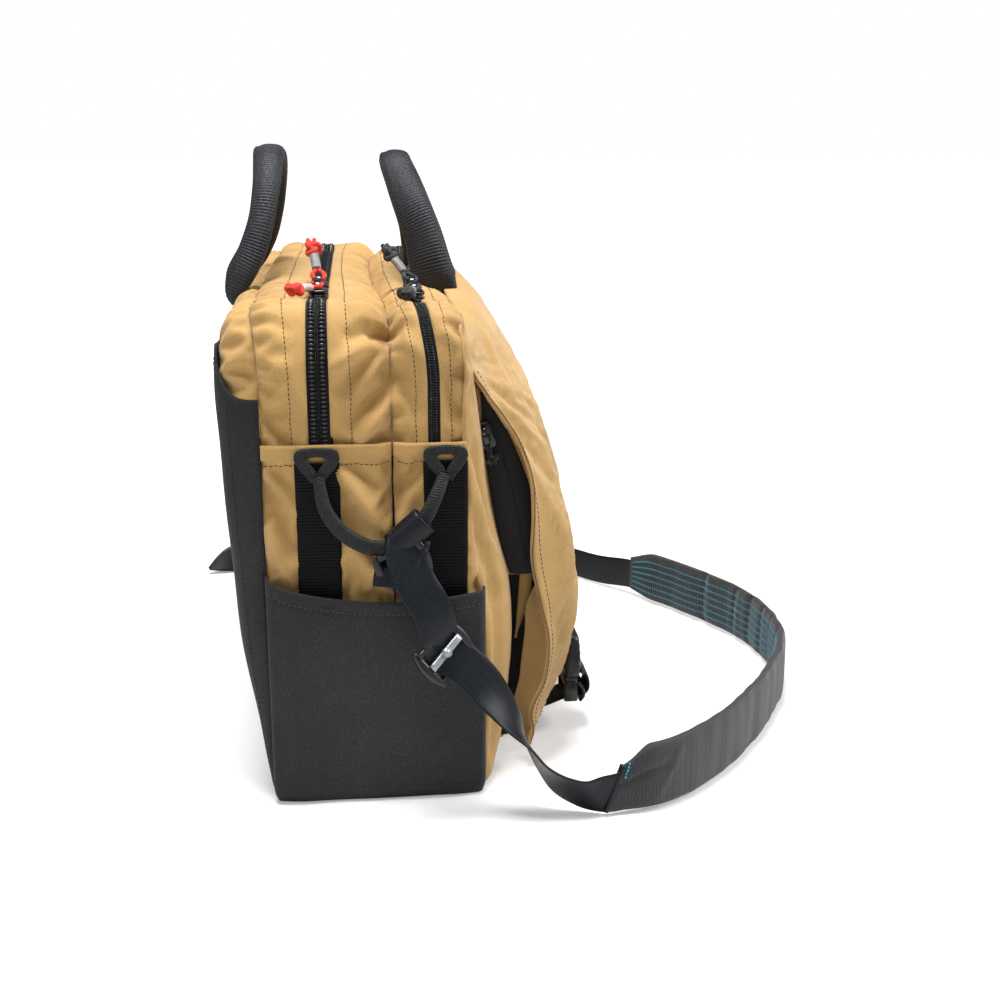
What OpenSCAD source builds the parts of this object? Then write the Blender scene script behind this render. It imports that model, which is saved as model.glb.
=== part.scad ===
/* [Body] */
// Length of the bag, end panel to end panel
body_l = 430; // [400:5:480]
// Height of the crests above the ground
body_h = 300; // [290:1:310]
// Radius of the upper corners, seen from the front
corner_r = 34; // [24:1:60]
// Thickness of the lined body fabric
wall = 2; // [1.5:0.5:3]
// Thickness of the base panel
base_t = 2.5; // [2:0.5:4]
// Thickness of the stiffener board in the base
board_t = 2.5; // [1.5:0.5:4]
// Height of the sewn hem where the end panels meet the gussets
hem_z = 212; // [200:1:230]

/* [End pockets] */
// Height of the end pocket's opening
pocket_h = 132; // [90:1:160]
// How far an end pocket stands out from the end panel
pocket_d = 9; // [6:1:14]

/* [Zippers] */
// Distance of the main zipper behind the origin
main_zip_y = 31.3; // [28:0.1:34]
// Distance of the front zipper from the origin, negative is forward
front_zip_y = -27; // [-29:0.1:-26]
// Width of the main zipper with its tapes
main_zip_w = 13.6; // [12:0.1:16]
// Width of the front zipper with its tapes
front_zip_w = 7.6; // [7:0.1:10]
// Gap between the two halves, where the slider's web runs
zip_slot = 1.4; // [1.3:0.1:2]

/* [Webbing] */
// Width of the strap and side webbing
web_w = 25.4; // [20:0.1:30]
// Thickness of the webbing
web_t = 1.6; // [1.2:0.1:2]
// Distance of the handle feet from the middle of the bag
handle_x = 75; // [60:1:90]
// Radius of the haul loop cord
cord_r = 4.6; // [3.5:0.1:4.8]
// Width of the shoulder pad
pad_w = 42; // [40:1:50]
// Thickness of the shoulder pad
pad_t = 7; // [6:0.5:9]

/* [Flap and buckles] */
// Length of the flap along the bag
flap_l = 380; // [340:5:400]
// Thickness of the flap with its lining
flap_t = 3; // [2:0.5:4]
// Distance of each buckle from the middle of the bag
buckle_x = 120; // [100:1:130]
// Outside width of a buckle
buckle_w = 36; // [34:0.5:40]

/* [Hidden] */

tan_fabric = "#c19a5b";
charcoal = "#3d3d40";
webbing_black = "#222226";
hard_black = "#18181b";
far = 1000;            // longer than anything it cuts
half_l = body_l / 2;
seam_y = 66;           // rear seam of the main compartment
divider_y = -10;       // wall between the main and front compartments
divider_t = 1.4;

// Height and distance behind the origin of the back surface, from the ground up
rear_profile = [[0, 66], [30, 71], [140, 84], [200, 87], [272, 87], [287, 82], [296, 74]];
// Height and distance of the front surface, from the ground up
front_profile = [[0, -64], [130, -61], [175, -56], [262, -55], [283, -53]];
// Distance and drop below body_h along the top, from back to front
crest_profile = [[66, 2], [50, 0], [20, 0], [2, 4], [-10, 13], [-20, 2], [-42, 2], [-49, 8]];
// Height and distance of the outside of the flap, from its top seam down
flap_profile = [[263.5, -59.2], [240, -72], [203, -96], [165, -110], [113, -118], [75, -116],
    [52, -112], [20, -101]];
// Height and distance of the front of the pocket under the flap
pocket_profile = [[248, -59], [225, -71], [200, -82], [165, -94], [120, -101], [60, -96], [14, -84]];

pivot_y = -8;          // line where the shoulder strap turns
pivot_z = 137;
strap_x = 242;         // distance of the straight strap run from the middle
run_dir = [0, -0.652, -0.758];   // the way the straight run goes, away from the pivot
run_side = [0, 0.758, -0.652];   // across the straight run
adjuster_at = 45;      // distance of the adjuster's middle from the pivot

function reversed(v) = [for (i = [len(v) - 1:-1:0]) v[i]];
function at(v, i) = v[max(0, min(len(v) - 1, i))];
function unit(v) = v / norm(v);
function front_y(z) = lookup(z, front_profile);
function rear_y(z) = lookup(z, rear_profile);

// Curve through a to d, between b and c; works on rows of any length
function between(a, b, c, d, t) = 0.5 * (2 * b + (c - a) * t
    + (2 * a - 5 * b + 4 * c - d) * t * t + (3 * b - a - 3 * c + d) * t * t * t);
function smooth(k, n) = [
    for (i = [0:len(k) - 2]) for (j = [0:n - 1])
        between(at(k, i - 1), k[i], k[i + 1], at(k, i + 2), j / n),
    k[len(k) - 1]
];
function place(row) = [row[0], row[1], row[2]];
function across(row) = [row[3], row[4], row[5]];
function mirrored(row) = [-row[0], row[1], row[2], -row[3], row[4], row[5], row[6], row[7]];

// Outline of the body seen from the end, moved inward by d
function body_outline(d, floor_z) = concat(
    [for (p = rear_profile) [p[1] - d, max(p[0], floor_z)]],
    [for (p = crest_profile) [p[0], body_h - p[1] - d]],
    [for (p = reversed(front_profile)) [p[1] + d, max(p[0], floor_z)]]
);

// Solid whose section is given in [y, z], along X
module along_x(length, points) {
    rotate([90, 0, 90])
        linear_extrude(length, center = true)
            polygon(points);
}

// Arch seen from the front: a rectangle with two rounded upper corners
module arch_2d(d) {
    r = corner_r - d;
    w = half_l - d;
    h = body_h - d;
    translate([-w, 0])
        square([2 * w, h - r]);
    translate([-w + r, 0])
        square([2 * (w - r), h]);
    for (x = [-1, 1])
        translate([x * (w - r), h - r])
            circle(r, $fn = 64);
}

// The whole body as one solid, moved inward by d
module envelope(d, floor_z = 0) {
    intersection() {
        along_x(far, body_outline(d, floor_z));
        rotate([90, 0, 0])
            linear_extrude(far, center = true)
                arch_2d(d);
    }
}

// Space between y0 and y1 and between z0 and z1
module slab(y0, y1, z0 = 0, z1 = far) {
    translate([-far / 2, y0, z0])
        cube([far, y1 - y0, z1 - z0]);
}

// Arched strip of body fabric between y0 and y1, above the hem
module gusset(y0, y1, d0 = 0, d1 = wall) {
    intersection() {
        difference() {
            envelope(d0);
            envelope(d1);
        }
        slab(y0, y1, hem_z);
    }
}

// Flat strip swept along rows of [x, y, z, across x, y, z, width, thickness]
module ribbon(keys, n = 5) {
    rows = smooth(keys, n);
    m = len(rows);
    points = [
        for (i = [0:m - 1])
            let (
                d = unit(place(at(rows, i + 1)) - place(at(rows, i - 1))),
                s0 = across(rows[i]),
                s = unit(s0 - (s0 * d) * d),
                u = cross(d, s),
                w = rows[i][6] / 2,
                t = rows[i][7] / 2
            )
            for (c = [[-1, -1], [1, -1], [1, 1], [-1, 1]])
                place(rows[i]) + c[0] * w * s + c[1] * t * u
    ];
    skin = [
        for (i = [0:m - 2]) for (j = [0:3])
            let (a = 4 * i + j, b = 4 * i + (j + 1) % 4)
            for (f = [[a, a + 4, b + 4], [a, b + 4, b]]) f
    ];
    e = 4 * m - 4;
    polyhedron(points, concat([[0, 1, 2, 3]], skin, [[e + 3, e + 2, e + 1, e]]));
}

// Round cord swept through places, in a plane that keeps X across it
module cord(keys, r, n = 5, sides = 12) {
    rows = smooth(keys, n);
    m = len(rows);
    points = [
        for (i = [0:m - 1])
            let (
                d = unit(at(rows, i + 1) - at(rows, i - 1)),
                s = unit([1, 0, 0] - d[0] * d),
                u = cross(d, s)
            )
            for (j = [0:sides - 1])
                rows[i] + r * (cos(360 * j / sides) * s + sin(360 * j / sides) * u)
    ];
    skin = [
        for (i = [0:m - 2]) for (j = [0:sides - 1])
            let (a = sides * i + j, b = sides * i + (j + 1) % sides)
            for (f = [[a, a + sides, b + sides], [a, b + sides, b]]) f
    ];
    first = [for (j = [0:sides - 1]) j];
    last = [for (j = [sides - 1:-1:0]) sides * (m - 1) + j];
    polyhedron(points, concat([first], skin, [last]));
}

// ---- body panels ----

module base_panel() {
    color(charcoal)
        translate([-half_l, -64, 0])
            cube([body_l, 64 + seam_y, base_t]);
}

module base_board() {
    margin = 9;
    color("#8a7a5c")
        translate([-half_l + margin, -64 + margin, base_t])
            cube([body_l - 2 * margin, 64 + seam_y - 2 * margin, board_t]);
}

// Space of the padded back, between the rear seam and distance d inside the surface
module back_space(d, y0) {
    intersection() {
        envelope(d, base_t);
        slab(y0, far, base_t);
    }
}

module back_panel() {
    color(tan_fabric)
        difference() {
            back_space(3, seam_y);
            back_space(5, seam_y + wall);
        }
}

module back_foam() {
    color("#6b6b70")
        intersection() {
            back_space(5.2, seam_y + wall + 0.2);
            slab(0, far, 40);
        }
}

module back_sleeve() {
    top = 272;
    color(charcoal)
        intersection() {
            difference() {
                envelope(-0.6, base_t);
                envelope(1.4, base_t);
            }
            slab(seam_y + 0.2, far, base_t, top);
        }
}

module end_panel(side) {
    front = [for (p = reversed(front_profile)) if (p[0] < hem_z) [p[1] + wall, max(p[0], base_t)]];
    color(tan_fabric)
        translate([side * (half_l - wall / 2), 0, 0])
            along_x(wall, concat([[seam_y, base_t], [seam_y, hem_z], [front_y(hem_z) + wall, hem_z]],
                front));
}

module left_end_panel() {
    end_panel(-1);
}

module right_end_panel() {
    end_panel(1);
}

module main_gusset_rear() {
    color(tan_fabric)
        gusset(main_zip_y + main_zip_w / 2, seam_y);
}

module main_gusset_front() {
    color(tan_fabric)
        gusset(divider_y, main_zip_y - main_zip_w / 2);
}

module divider_wall() {
    color("#8d8068")
        intersection() {
            envelope(0);
            slab(divider_y - divider_t, divider_y, base_t + board_t);
            union() {
                slab(-far, far, hem_z);
                cube([body_l - 2 * wall, far, far], center = true);
            }
        }
}

module front_gusset_rear() {
    color(tan_fabric)
        gusset(front_zip_y + front_zip_w / 2, divider_y - divider_t);
}

// The front wall leans out towards the base
module front_wall_space() {
    top = 283;
    intersection() {
        envelope(0, base_t);
        along_x(far, concat(
            [for (p = front_profile) [p[1] - 1, max(p[0], base_t)]],
            [for (p = reversed(front_profile)) [p[1] + wall, max(p[0], base_t)]]
        ));
        slab(-far, 0, base_t, top);
    }
}

module front_wall() {
    color(tan_fabric)
        front_wall_space();
}

module front_gusset_front() {
    color(tan_fabric)
        difference() {
            gusset(-70, front_zip_y - front_zip_w / 2);
            front_wall_space();
        }
}

module zipper(y, w) {
    color(hard_black)
        for (side = [-1, 1])
            gusset(
                side < 0 ? y - w / 2 : y + zip_slot / 2,
                side < 0 ? y - zip_slot / 2 : y + w / 2,
                0.2, wall - 0.2);
}

module main_zipper() {
    zipper(main_zip_y, main_zip_w);
}

module front_zipper() {
    zipper(front_zip_y, front_zip_w);
}

module laptop_sleeve() {
    sleeve_l = 390;
    color("#4a4a50")
        difference() {
            translate([-sleeve_l / 2, 54, base_t + board_t])
                cube([sleeve_l, 10, 225]);
            translate([-sleeve_l / 2 + wall, 56, base_t + board_t + wall])
                cube([sleeve_l - 2 * wall, 6, 230]);
        }
}

module end_pocket(side) {
    lip = 1.6;
    top = [[seam_y - 0.4, pocket_h + 8], [45, pocket_h + 2], [0, pocket_h - 6], [-60.6, pocket_h - 1]];
    outer = concat([[seam_y - 0.4, base_t]], top, [[-63.4, base_t]]);
    inner = [for (p = outer) [p[0] - sign(p[0]) * lip, p[1] + (p[1] > 50 ? far : lip)]];
    color(charcoal)
        translate([side * (half_l + pocket_d / 2), 0, 0])
            difference() {
                along_x(pocket_d, outer);
                translate([-side * lip, 0, 0])
                    along_x(pocket_d, inner);
            }
}

module left_end_pocket() {
    end_pocket(-1);
}

module right_end_pocket() {
    end_pocket(1);
}

strip_y = [33.5, -40.5];   // middles of the two strips on each end

module side_webbing() {
    bottom = 12;
    color(webbing_black)
        for (side = [-1, 1]) for (y = strip_y)
            translate([side > 0 ? half_l : -half_l - web_t, y - web_w / 2, bottom])
                cube([web_t, web_w, hem_z - bottom]);
}

// ---- haul loops and strap anchors ----

wrap_at = [230, -18.5, 170];     // middle of the sleeve round the haul loop

module haul_loop(side) {
    x0 = half_l + web_t + cord_r;
    keys = [[x0, 34, 206], [226, 34, 196], [230, 27, 180], [230, 14, 166], [230, 0, 160],
        [230, -10.5, 163.2], [230, -26.5, 177.3], [229, -35, 192], [x0, -40, 206]];
    tab = 12;
    color(webbing_black) {
        cord([for (k = keys) [side * k[0], k[1], k[2]]], cord_r);
        for (y = strip_y)
            translate([side > 0 ? half_l + web_t : -half_l - web_t - 2, y - tab, hem_z - 14])
                cube([2, 2 * tab, tab]);
    }
}

module left_haul_loop() {
    haul_loop(-1);
}

module right_haul_loop() {
    haul_loop(1);
}

module strap_anchor(side) {
    length = 20;
    slant = 48.5;          // the sleeve's axis from upright, leaning forward
    hole_r = cord_r + 1.6;
    color(webbing_black) {
        translate([side * wrap_at[0], wrap_at[1], wrap_at[2]])
            rotate([slant, 0, 0])
                difference() {
                    cylinder(h = length, r = hole_r + 2, center = true, $fn = 48);
                    cylinder(h = length + 2, r = hole_r, center = true, $fn = 48);
                }
        // webbing from the sleeve down to its slider
        translate([side * 236, 0, 0])
            along_x(web_t, [[-24, 165], [-7, 178], [6, 156], [-13, 142]]);
    }
}

module left_strap_anchor() {
    strap_anchor(-1);
}

module right_strap_anchor() {
    strap_anchor(1);
}

// Flat frame with a middle bar, lying in the YZ plane
module bar_slider(length, width, thick, bar) {
    rotate([90, 0, 90])
        linear_extrude(thick, center = true)
            difference() {
                square([length, width], center = true);
                for (y = [-1, 1])
                    translate([0, y * (width / 4 - bar / 4)])
                        square([length - 2 * bar, width / 2 - 1.5 * bar], center = true);
            }
}

// Lies between the anchor's webbing and the adjuster, which swings past it
module anchor_slider(side) {
    color(hard_black)
        translate([side * 237.7, -14, 148])
            rotate([-32, 0, 0])
                bar_slider(30, 20, 1.6, 3);
}

module left_anchor_slider() {
    anchor_slider(-1);
}

module right_anchor_slider() {
    anchor_slider(1);
}

// ---- front pocket and closure straps ----

module front_pocket() {
    length = 2 * 180;
    back = [for (p = front_profile) if (p[0] < 248) [p[1] - 0.2, max(p[0], 14)]];
    outer = concat(back, [[-55.2, 248]], [for (p = pocket_profile) [p[1], p[0]]]);
    inner = concat([[-40, 12 + wall], [-40, 246]],
        [for (p = pocket_profile) [p[1] + wall + 0.5, p[0] - wall + 0.5]]);
    color(tan_fabric)
        difference() {
            along_x(length, outer);
            difference() {
                along_x(length - 2 * wall, inner);
                slab(-far, far, 0, 14 + wall);
            }
            pocket_zip_place()
                translate([0, 0, -wall])
                    cube([pocket_zip_l, pocket_zip_w, 4 * wall], center = true);
        }
}

pocket_zip_l = 84;
pocket_zip_w = 13;

// Frame of the pocket's side zipper: local X up the zipper, local Z outward
module pocket_zip_place() {
    translate([-180, -74.5, 188])
        rotate([-16, 0, 0])
            rotate([0, -90, 0])
                children();
}

module pocket_zipper() {
    color(hard_black)
        pocket_zip_place()
            for (side = [-1, 1])
                translate([0, side * (pocket_zip_w + zip_slot) / 4, -wall / 2])
                    cube([pocket_zip_l, (pocket_zip_w - zip_slot) / 2, 1.6], center = true);
}

module closure_straps() {
    color(webbing_black)
        for (side = [-1, 1])
            ribbon([
                [side * buckle_x, -65.2, 9, 1, 0, 0, web_w, web_t],
                [side * buckle_x, -84, 11, 1, 0, 0, web_w, web_t],
                [side * buckle_x, -106, 17, 1, 0, 0, web_w, web_t],
                [side * buckle_x, -125.4, 24, 1, 0, 0, web_w, web_t]
            ]);
}

module right_strap_tail() {
    color(webbing_black)
        ribbon([
            [strap_x, 14, 128, 0, 1, 0, web_w, web_t],
            [246, 34, 90, 0, 0.9, 0.4, web_w, web_t],
            [250, 66, 44, 0, 0.7, 0.7, web_w, web_t],
            [250, 100, 18, 0, 0.2, 1, web_w, web_t],
            [242, 132, 13, 0, 0, 1, web_w, web_t],
            [230, 147, 13, 0, 0, 1, web_w, web_t],
            [216, 136, 13, 0, 0, 1, web_w, web_t],
            [218, 112, 13, 0, 0, 1, web_w, web_t]
        ]);
}

// ---- handles ----

// Rows for one half of a handle, foot to middle
function handle_half(foot_y, foot_z, top_y, top_z) = [
    [-handle_x, foot_y, foot_z, 1, 0, 0, 26, 3],
    [-handle_x + 1, foot_y + (top_y - foot_y) * 0.18, foot_z + (top_z - foot_z) * 0.2, 0.97, 0.2, 0, 26, 3.4],
    [-handle_x + 8, foot_y + (top_y - foot_y) * 0.5, foot_z + (top_z - foot_z) * 0.54, 0.7, 0.7, 0, 25, 5],
    [-handle_x + 27, foot_y + (top_y - foot_y) * 0.86, foot_z + (top_z - foot_z) * 0.86, 0.2, 0.95, 0, 22, 8],
    [-handle_x + 52, top_y, foot_z + (top_z - foot_z) * 0.985, 0, 1, 0, 21, 9]
];

module handle(foot_y, foot_z, top_y, top_z) {
    half = handle_half(foot_y, foot_z, top_y, top_z);
    middle = [[0, top_y, top_z, 0, 1, 0, 21, 9]];
    other = [for (row = reversed(half)) mirrored(row)];
    color(webbing_black)
        ribbon(concat(half, middle, other));
}

module rear_handle() {
    handle(89.6, 284, 67, 380);
}

module front_handle() {
    handle(-58.6, 280, -22, 376);
}

// ---- zipper sliders and pulls ----

pin_z = 3.4;           // height of the pull's pin above the zipper

// Slider at the origin, on a zipper whose surface is z = 0 and that runs along X
module slider() {
    plate_l = 13;
    plate_w = 8.6;
    web_gap = 0.1;
    color(hard_black) {
        for (z = [web_gap, -4 - web_gap])
            translate([0, 0, z])
                linear_extrude(2)
                    union() {
                        square([plate_l - 4, plate_w], center = true);
                        for (x = [-1, 1])
                            translate([x * (plate_l / 2 - 3), 0])
                                circle(3, $fn = 32);
                    }
        translate([-plate_l / 2 + 3, -zip_slot / 2 + web_gap, -3])
            cube([plate_l - 6, zip_slot - 2 * web_gap, 4]);
        for (x = [-4, 2.6])
            translate([x, -1.2, 1])
                cube([1.4, 2.4, 5]);
        translate([-4, -1.2, 4.9])
            cube([8, 2.4, 1.4]);
    }
}

// Cord pull with its pin at the origin, lying along +X
module pull(tint) {
    color(tint) {
        rotate([90, 0, 0])
            cylinder(h = 8.6, r = 0.8, center = true, $fn = 24);
        for (y = [-1, 1])
            translate([-0.7, y * 3.5 - 0.7, -0.7])
                cube([9, 1.4, 1.4]);
        translate([7, -4.2, -0.7])
            cube([2, 8.4, 1.4]);
        rotate([0, 90, 0]) {
            translate([0, 0, 8])
                cylinder(h = 27, r = 1.6, $fn = 24);
            for (x = [8.4, 32])
                translate([0, 0, x])
                    cylinder(h = 5.6, r = 3, $fn = 32);
        }
    }
}

module pull_tube() {
    color("#8c8f92")
        translate([15, 0, 0])
            rotate([0, 90, 0])
                difference() {
                    cylinder(h = 16, r = 2.9, $fn = 32);
                    translate([0, 0, -1])
                        cylinder(h = 18, r = 1.65, $fn = 24);
                }
}

main_near = [-145, main_zip_y, body_h - 0.2];
main_far = [-112, main_zip_y, body_h - 0.2];
front_near = [-145, front_zip_y, body_h - 2];
front_far = [-112, front_zip_y, body_h - 2];
near_turn = 160;       // the near main pull lies towards the left end and a little back
far_lift = 48;         // the far pulls stand up from their sliders

module main_slider_near() {
    translate(main_near)
        slider();
}

module main_slider_far() {
    translate(main_far)
        slider();
}

module front_slider_near() {
    translate(front_near)
        slider();
}

module front_slider_far() {
    translate(front_far)
        slider();
}

// Places a pull on a slider: turned about the upright, then lifted about its pin
module pull_place(slider_at, turn, lift = 0) {
    translate(slider_at + [0, 0, pin_z])
        rotate([0, 0, turn])
            rotate([0, -lift, 0])
                children();
}

module main_pull_near() {
    pull_place(main_near, near_turn)
        pull("#e5322a");
}

module main_pull_far() {
    pull_place(main_far, 0, far_lift)
        pull("#e5322a");
}

module front_pull_near() {
    pull_place(front_near, 180)
        pull(hard_black);
}

module front_pull_far() {
    pull_place(front_far, 0, far_lift)
        pull(hard_black);
}

module main_tube_near() {
    pull_place(main_near, near_turn)
        pull_tube();
}

module main_tube_far() {
    pull_place(main_far, 0, far_lift)
        pull_tube();
}

module front_tube_near() {
    pull_place(front_near, 180)
        pull_tube();
}

module front_tube_far() {
    pull_place(front_far, 0, far_lift)
        pull_tube();
}

pocket_slider_at = 30;   // distance of the slider up from the zipper's middle

module pocket_slider() {
    pocket_zip_place()
        translate([pocket_slider_at, 0, -0.2])
            slider();
}

module pocket_pull() {
    pocket_zip_place()
        translate([pocket_slider_at, 0, pin_z - 0.2])
            rotate([0, 0, 180])
                pull(hard_black);
}

// ---- flap and buckles ----

module flap() {
    outer = [for (p = flap_profile) [p[1], p[0]]];
    inner = [for (p = reversed(flap_profile)) [p[1] + flap_t, p[0] - 0.6]];
    half = flap_l / 2;
    color(tan_fabric)
        intersection() {
            along_x(flap_l, concat(outer, inner));
            rotate([90, 0, 0])
                linear_extrude(far, center = true)
                    polygon([[-half, 270], [-half, 20], [-half + 14, 21], [-half + 34, 40],
                        [-half + 56, 52], [half - 56, 52], [half - 34, 40], [half - 14, 21],
                        [half, 20], [half, 270]]);
        }
}

housing_y = -131;      // middle of the buckles, front to back
housing_z0 = 38.5;     // mouth of the housing
housing_z1 = 66;       // top of the housing

module flap_webbing() {
    color(webbing_black)
        for (side = [-1, 1])
            ribbon([
                [side * buckle_x, -119.6, 126, 1, 0, 0, web_w, web_t],
                [side * buckle_x, -119.6, 104, 1, 0, 0, web_w, web_t],
                [side * buckle_x, -123, 80, 1, 0, 0, web_w, web_t],
                [side * buckle_x, -129, housing_z1 + 0.4, 1, 0, 0, web_w, web_t]
            ]);
}

// Cover, two side walls and a webbing bar; the side towards the bag stays open
module buckle_housings() {
    cover_t = 2;
    side_t = 2;
    color(hard_black)
        for (side = [-1, 1])
            translate([side * buckle_x, housing_y, housing_z0]) {
                translate([-buckle_w / 2, -8, 0])
                    cube([buckle_w, cover_t, housing_z1 - housing_z0]);
                for (x = [-buckle_w / 2, buckle_w / 2 - side_t])
                    translate([x, -8, 0])
                        cube([side_t, 12, housing_z1 - housing_z0]);
                translate([-buckle_w / 2, -8, housing_z1 - housing_z0 - 6])
                    cube([buckle_w, 12, 6]);
            }
}

// Two spring prongs, a guide between them and a ladder of webbing bars
module buckle_plug(side) {
    body_w = buckle_w - 5;
    prong_l = 15.5;
    z0 = 20;
    color(hard_black)
        translate([side * buckle_x, housing_y, 0]) {
            difference() {
                translate([-body_w / 2, -5.4, z0])
                    cube([body_w, 10, housing_z0 - z0]);
                for (z = [z0 + 3, z0 + 10])
                    translate([-web_w / 2 - 0.6, -10, z])
                        cube([web_w + 1.2, 20, 3.4]);
            }
            for (x = [-body_w / 2, body_w / 2 - 4])
                translate([x, -4, housing_z0 - 0.01])
                    cube([4, 6, prong_l]);
            translate([-2.5, -3.4, housing_z0 - 0.01])
                cube([5, 4.8, prong_l]);
        }
}

module left_buckle_plug() {
    buckle_plug(-1);
}

module right_buckle_plug() {
    buckle_plug(1);
}

// ---- shoulder strap ----

// A row on the straight run beside the end pocket, distance d from the pivot
function run_row(side, d) = [side * strap_x, pivot_y + d * run_dir[1], pivot_z + d * run_dir[2],
    0, run_side[1], run_side[2], web_w, web_t];

module left_strap_webbing() {
    color(webbing_black)
        ribbon([
            run_row(-1, -8), run_row(-1, 30), run_row(-1, 60), run_row(-1, 88),
            [-245, -84, 46, 0, 0.6, -0.8, web_w, web_t],
            [-251, -104, 26, 0, 0.25, -0.97, web_w, web_t],
            [-255.4, -127.4, 17.4, 0, 0, -1, web_w, web_t]
        ]);
}

module right_strap_webbing() {
    color(webbing_black)
        ribbon([
            run_row(1, -8), run_row(1, 30), run_row(1, 60), run_row(1, 88),
            [246, -84, 46, 0, 0.6, -0.8, web_w, web_t],
            [250, -108, 24, 0, 0.25, -0.97, web_w, web_t],
            [236, -140, 13.2, 0, 0, -1, web_w, web_t],
            [200, -172, 13.2, 0, 0, -1, web_w, web_t],
            [162, -201, 14, 0, 0, -1, web_w, web_t],
            [136, -221.5, 18, 0, 0, -1, web_w, web_t]
        ]);
}

// Middle line of the pad, standing on its edge, from the left end round to the right
pad_line = [[-257, -133, 21], [-250, -165, 22.5], [-222, -203, 22.5], [-180, -238, 22.5],
    [-130, -269, 22.5], [-85, -289, 22.5], [-35, -296, 22.5], [15, -289, 22.5], [62, -269, 22.5],
    [100, -247, 22], [134, -223, 21.5]];

function pad_rows(w, t, shift = 0) = [
    for (i = [0:len(pad_line) - 1])
        let (
            d = unit(at(pad_line, i + 1) - at(pad_line, i - 1)),
            inward = [-d[1], d[0], 0]
        )
        concat(pad_line[i] + shift * inward, [0, 0, 1, w, t])
];

module pad_cover() {
    skin_t = 1;
    color(charcoal)
        difference() {
            ribbon(pad_rows(pad_w, pad_t), 4);
            ribbon(pad_rows(pad_w - 2 * skin_t, pad_t - 2 * skin_t), 4);
        }
}

module pad_core() {
    gap = 3.4;
    color("#77777c")
        ribbon(pad_rows(pad_w - gap, pad_t - gap), 4);
}

// Rows of grip beads on the side that faces the shoulder
module pad_grip() {
    grip_t = 0.6;
    rows = 6;
    pitch = 5.4;
    color("#3f8c9b")
        for (i = [0:rows - 1])
            translate([0, 0, (i - (rows - 1) / 2) * pitch])
                ribbon([for (k = [1:len(pad_line) - 2])
                    pad_rows(1.2, grip_t, (pad_t + grip_t) / 2 + 0.06)[k]], 4);
}

// Ladder slider on a straight run: end bars inside the webbing, middle bar outside
module adjuster(side) {
    reach = 12;
    bar = 2.6;
    gap = 0.1;
    rail_in = web_w / 2 + 0.4;
    rail_t = 3.4;
    layer = 2.5;
    turn = -atan2(run_dir[1], -run_dir[2]);
    color(hard_black)
        translate([side * strap_x, pivot_y + adjuster_at * run_dir[1],
            pivot_z + adjuster_at * run_dir[2]])
            rotate([-turn, 0, 0])
                mirror([side < 0 ? 1 : 0, 0, 0]) {
                    for (z = [-1, 1])
                        translate([-web_t / 2 - gap - layer, -rail_in - 1, z * reach - bar / 2])
                            cube([layer, 2 * rail_in + 2, bar]);
                    translate([web_t / 2 + gap, -rail_in - 1, -bar / 2])
                        cube([layer, 2 * rail_in + 2, bar]);
                    for (y = [-1, 1])
                        translate([-web_t / 2 - gap - layer,
                            y > 0 ? rail_in : -rail_in - rail_t, -reach - bar])
                            cube([web_t + 2 * gap + 2 * layer, rail_t, 2 * (reach + bar)]);
                }
}

module left_adjuster() {
    adjuster(-1);
}

module right_adjuster() {
    adjuster(1);
}

base_panel();
base_board();
back_panel();
back_foam();
back_sleeve();
left_end_panel();
right_end_panel();
main_gusset_rear();
main_gusset_front();
main_zipper();
divider_wall();
front_gusset_rear();
front_gusset_front();
front_zipper();
front_wall();
laptop_sleeve();
left_end_pocket();
right_end_pocket();
side_webbing();
left_haul_loop();
right_haul_loop();
left_strap_anchor();
right_strap_anchor();
left_anchor_slider();
right_anchor_slider();
front_pocket();
pocket_zipper();
closure_straps();
right_strap_tail();
rear_handle();
front_handle();
main_slider_near();
main_slider_far();
front_slider_near();
front_slider_far();
pocket_slider();
main_pull_near();
main_pull_far();
front_pull_near();
front_pull_far();
pocket_pull();
main_tube_near();
main_tube_far();
front_tube_near();
front_tube_far();
flap();
flap_webbing();
buckle_housings();
left_buckle_plug();
right_buckle_plug();
left_strap_webbing();
right_strap_webbing();
pad_cover();
pad_core();
pad_grip();
left_adjuster();
right_adjuster();
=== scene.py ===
"""Looks of the shoulder bag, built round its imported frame. Shapes are worked out in millimetres,
+X along the bag to its far end, +Y to the back, +Z up."""
import math

import bpy
import numpy as np
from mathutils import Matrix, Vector


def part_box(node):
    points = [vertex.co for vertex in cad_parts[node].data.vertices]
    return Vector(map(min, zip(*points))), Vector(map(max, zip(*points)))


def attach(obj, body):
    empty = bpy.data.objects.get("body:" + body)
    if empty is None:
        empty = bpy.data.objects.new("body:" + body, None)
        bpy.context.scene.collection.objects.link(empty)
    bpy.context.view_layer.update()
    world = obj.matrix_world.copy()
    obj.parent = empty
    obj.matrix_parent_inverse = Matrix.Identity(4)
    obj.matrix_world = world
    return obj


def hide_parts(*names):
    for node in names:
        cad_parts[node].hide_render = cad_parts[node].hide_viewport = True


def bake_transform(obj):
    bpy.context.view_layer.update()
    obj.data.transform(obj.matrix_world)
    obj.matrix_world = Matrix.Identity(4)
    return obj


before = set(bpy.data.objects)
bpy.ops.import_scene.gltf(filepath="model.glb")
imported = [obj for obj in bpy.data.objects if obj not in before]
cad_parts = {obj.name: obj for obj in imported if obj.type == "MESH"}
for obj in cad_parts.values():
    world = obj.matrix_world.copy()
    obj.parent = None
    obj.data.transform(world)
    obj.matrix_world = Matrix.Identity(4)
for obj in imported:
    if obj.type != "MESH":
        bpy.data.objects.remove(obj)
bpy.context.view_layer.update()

MM = 0.001


def span(node):
    """Lowest and highest corner of a CAD node, in millimetres."""
    low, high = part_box(node)
    return np.array(low) / MM, np.array(high) / MM


def middle(node):
    low, high = span(node)
    return (low + high) / 2


# ---- driving places, from the frame ----

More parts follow.
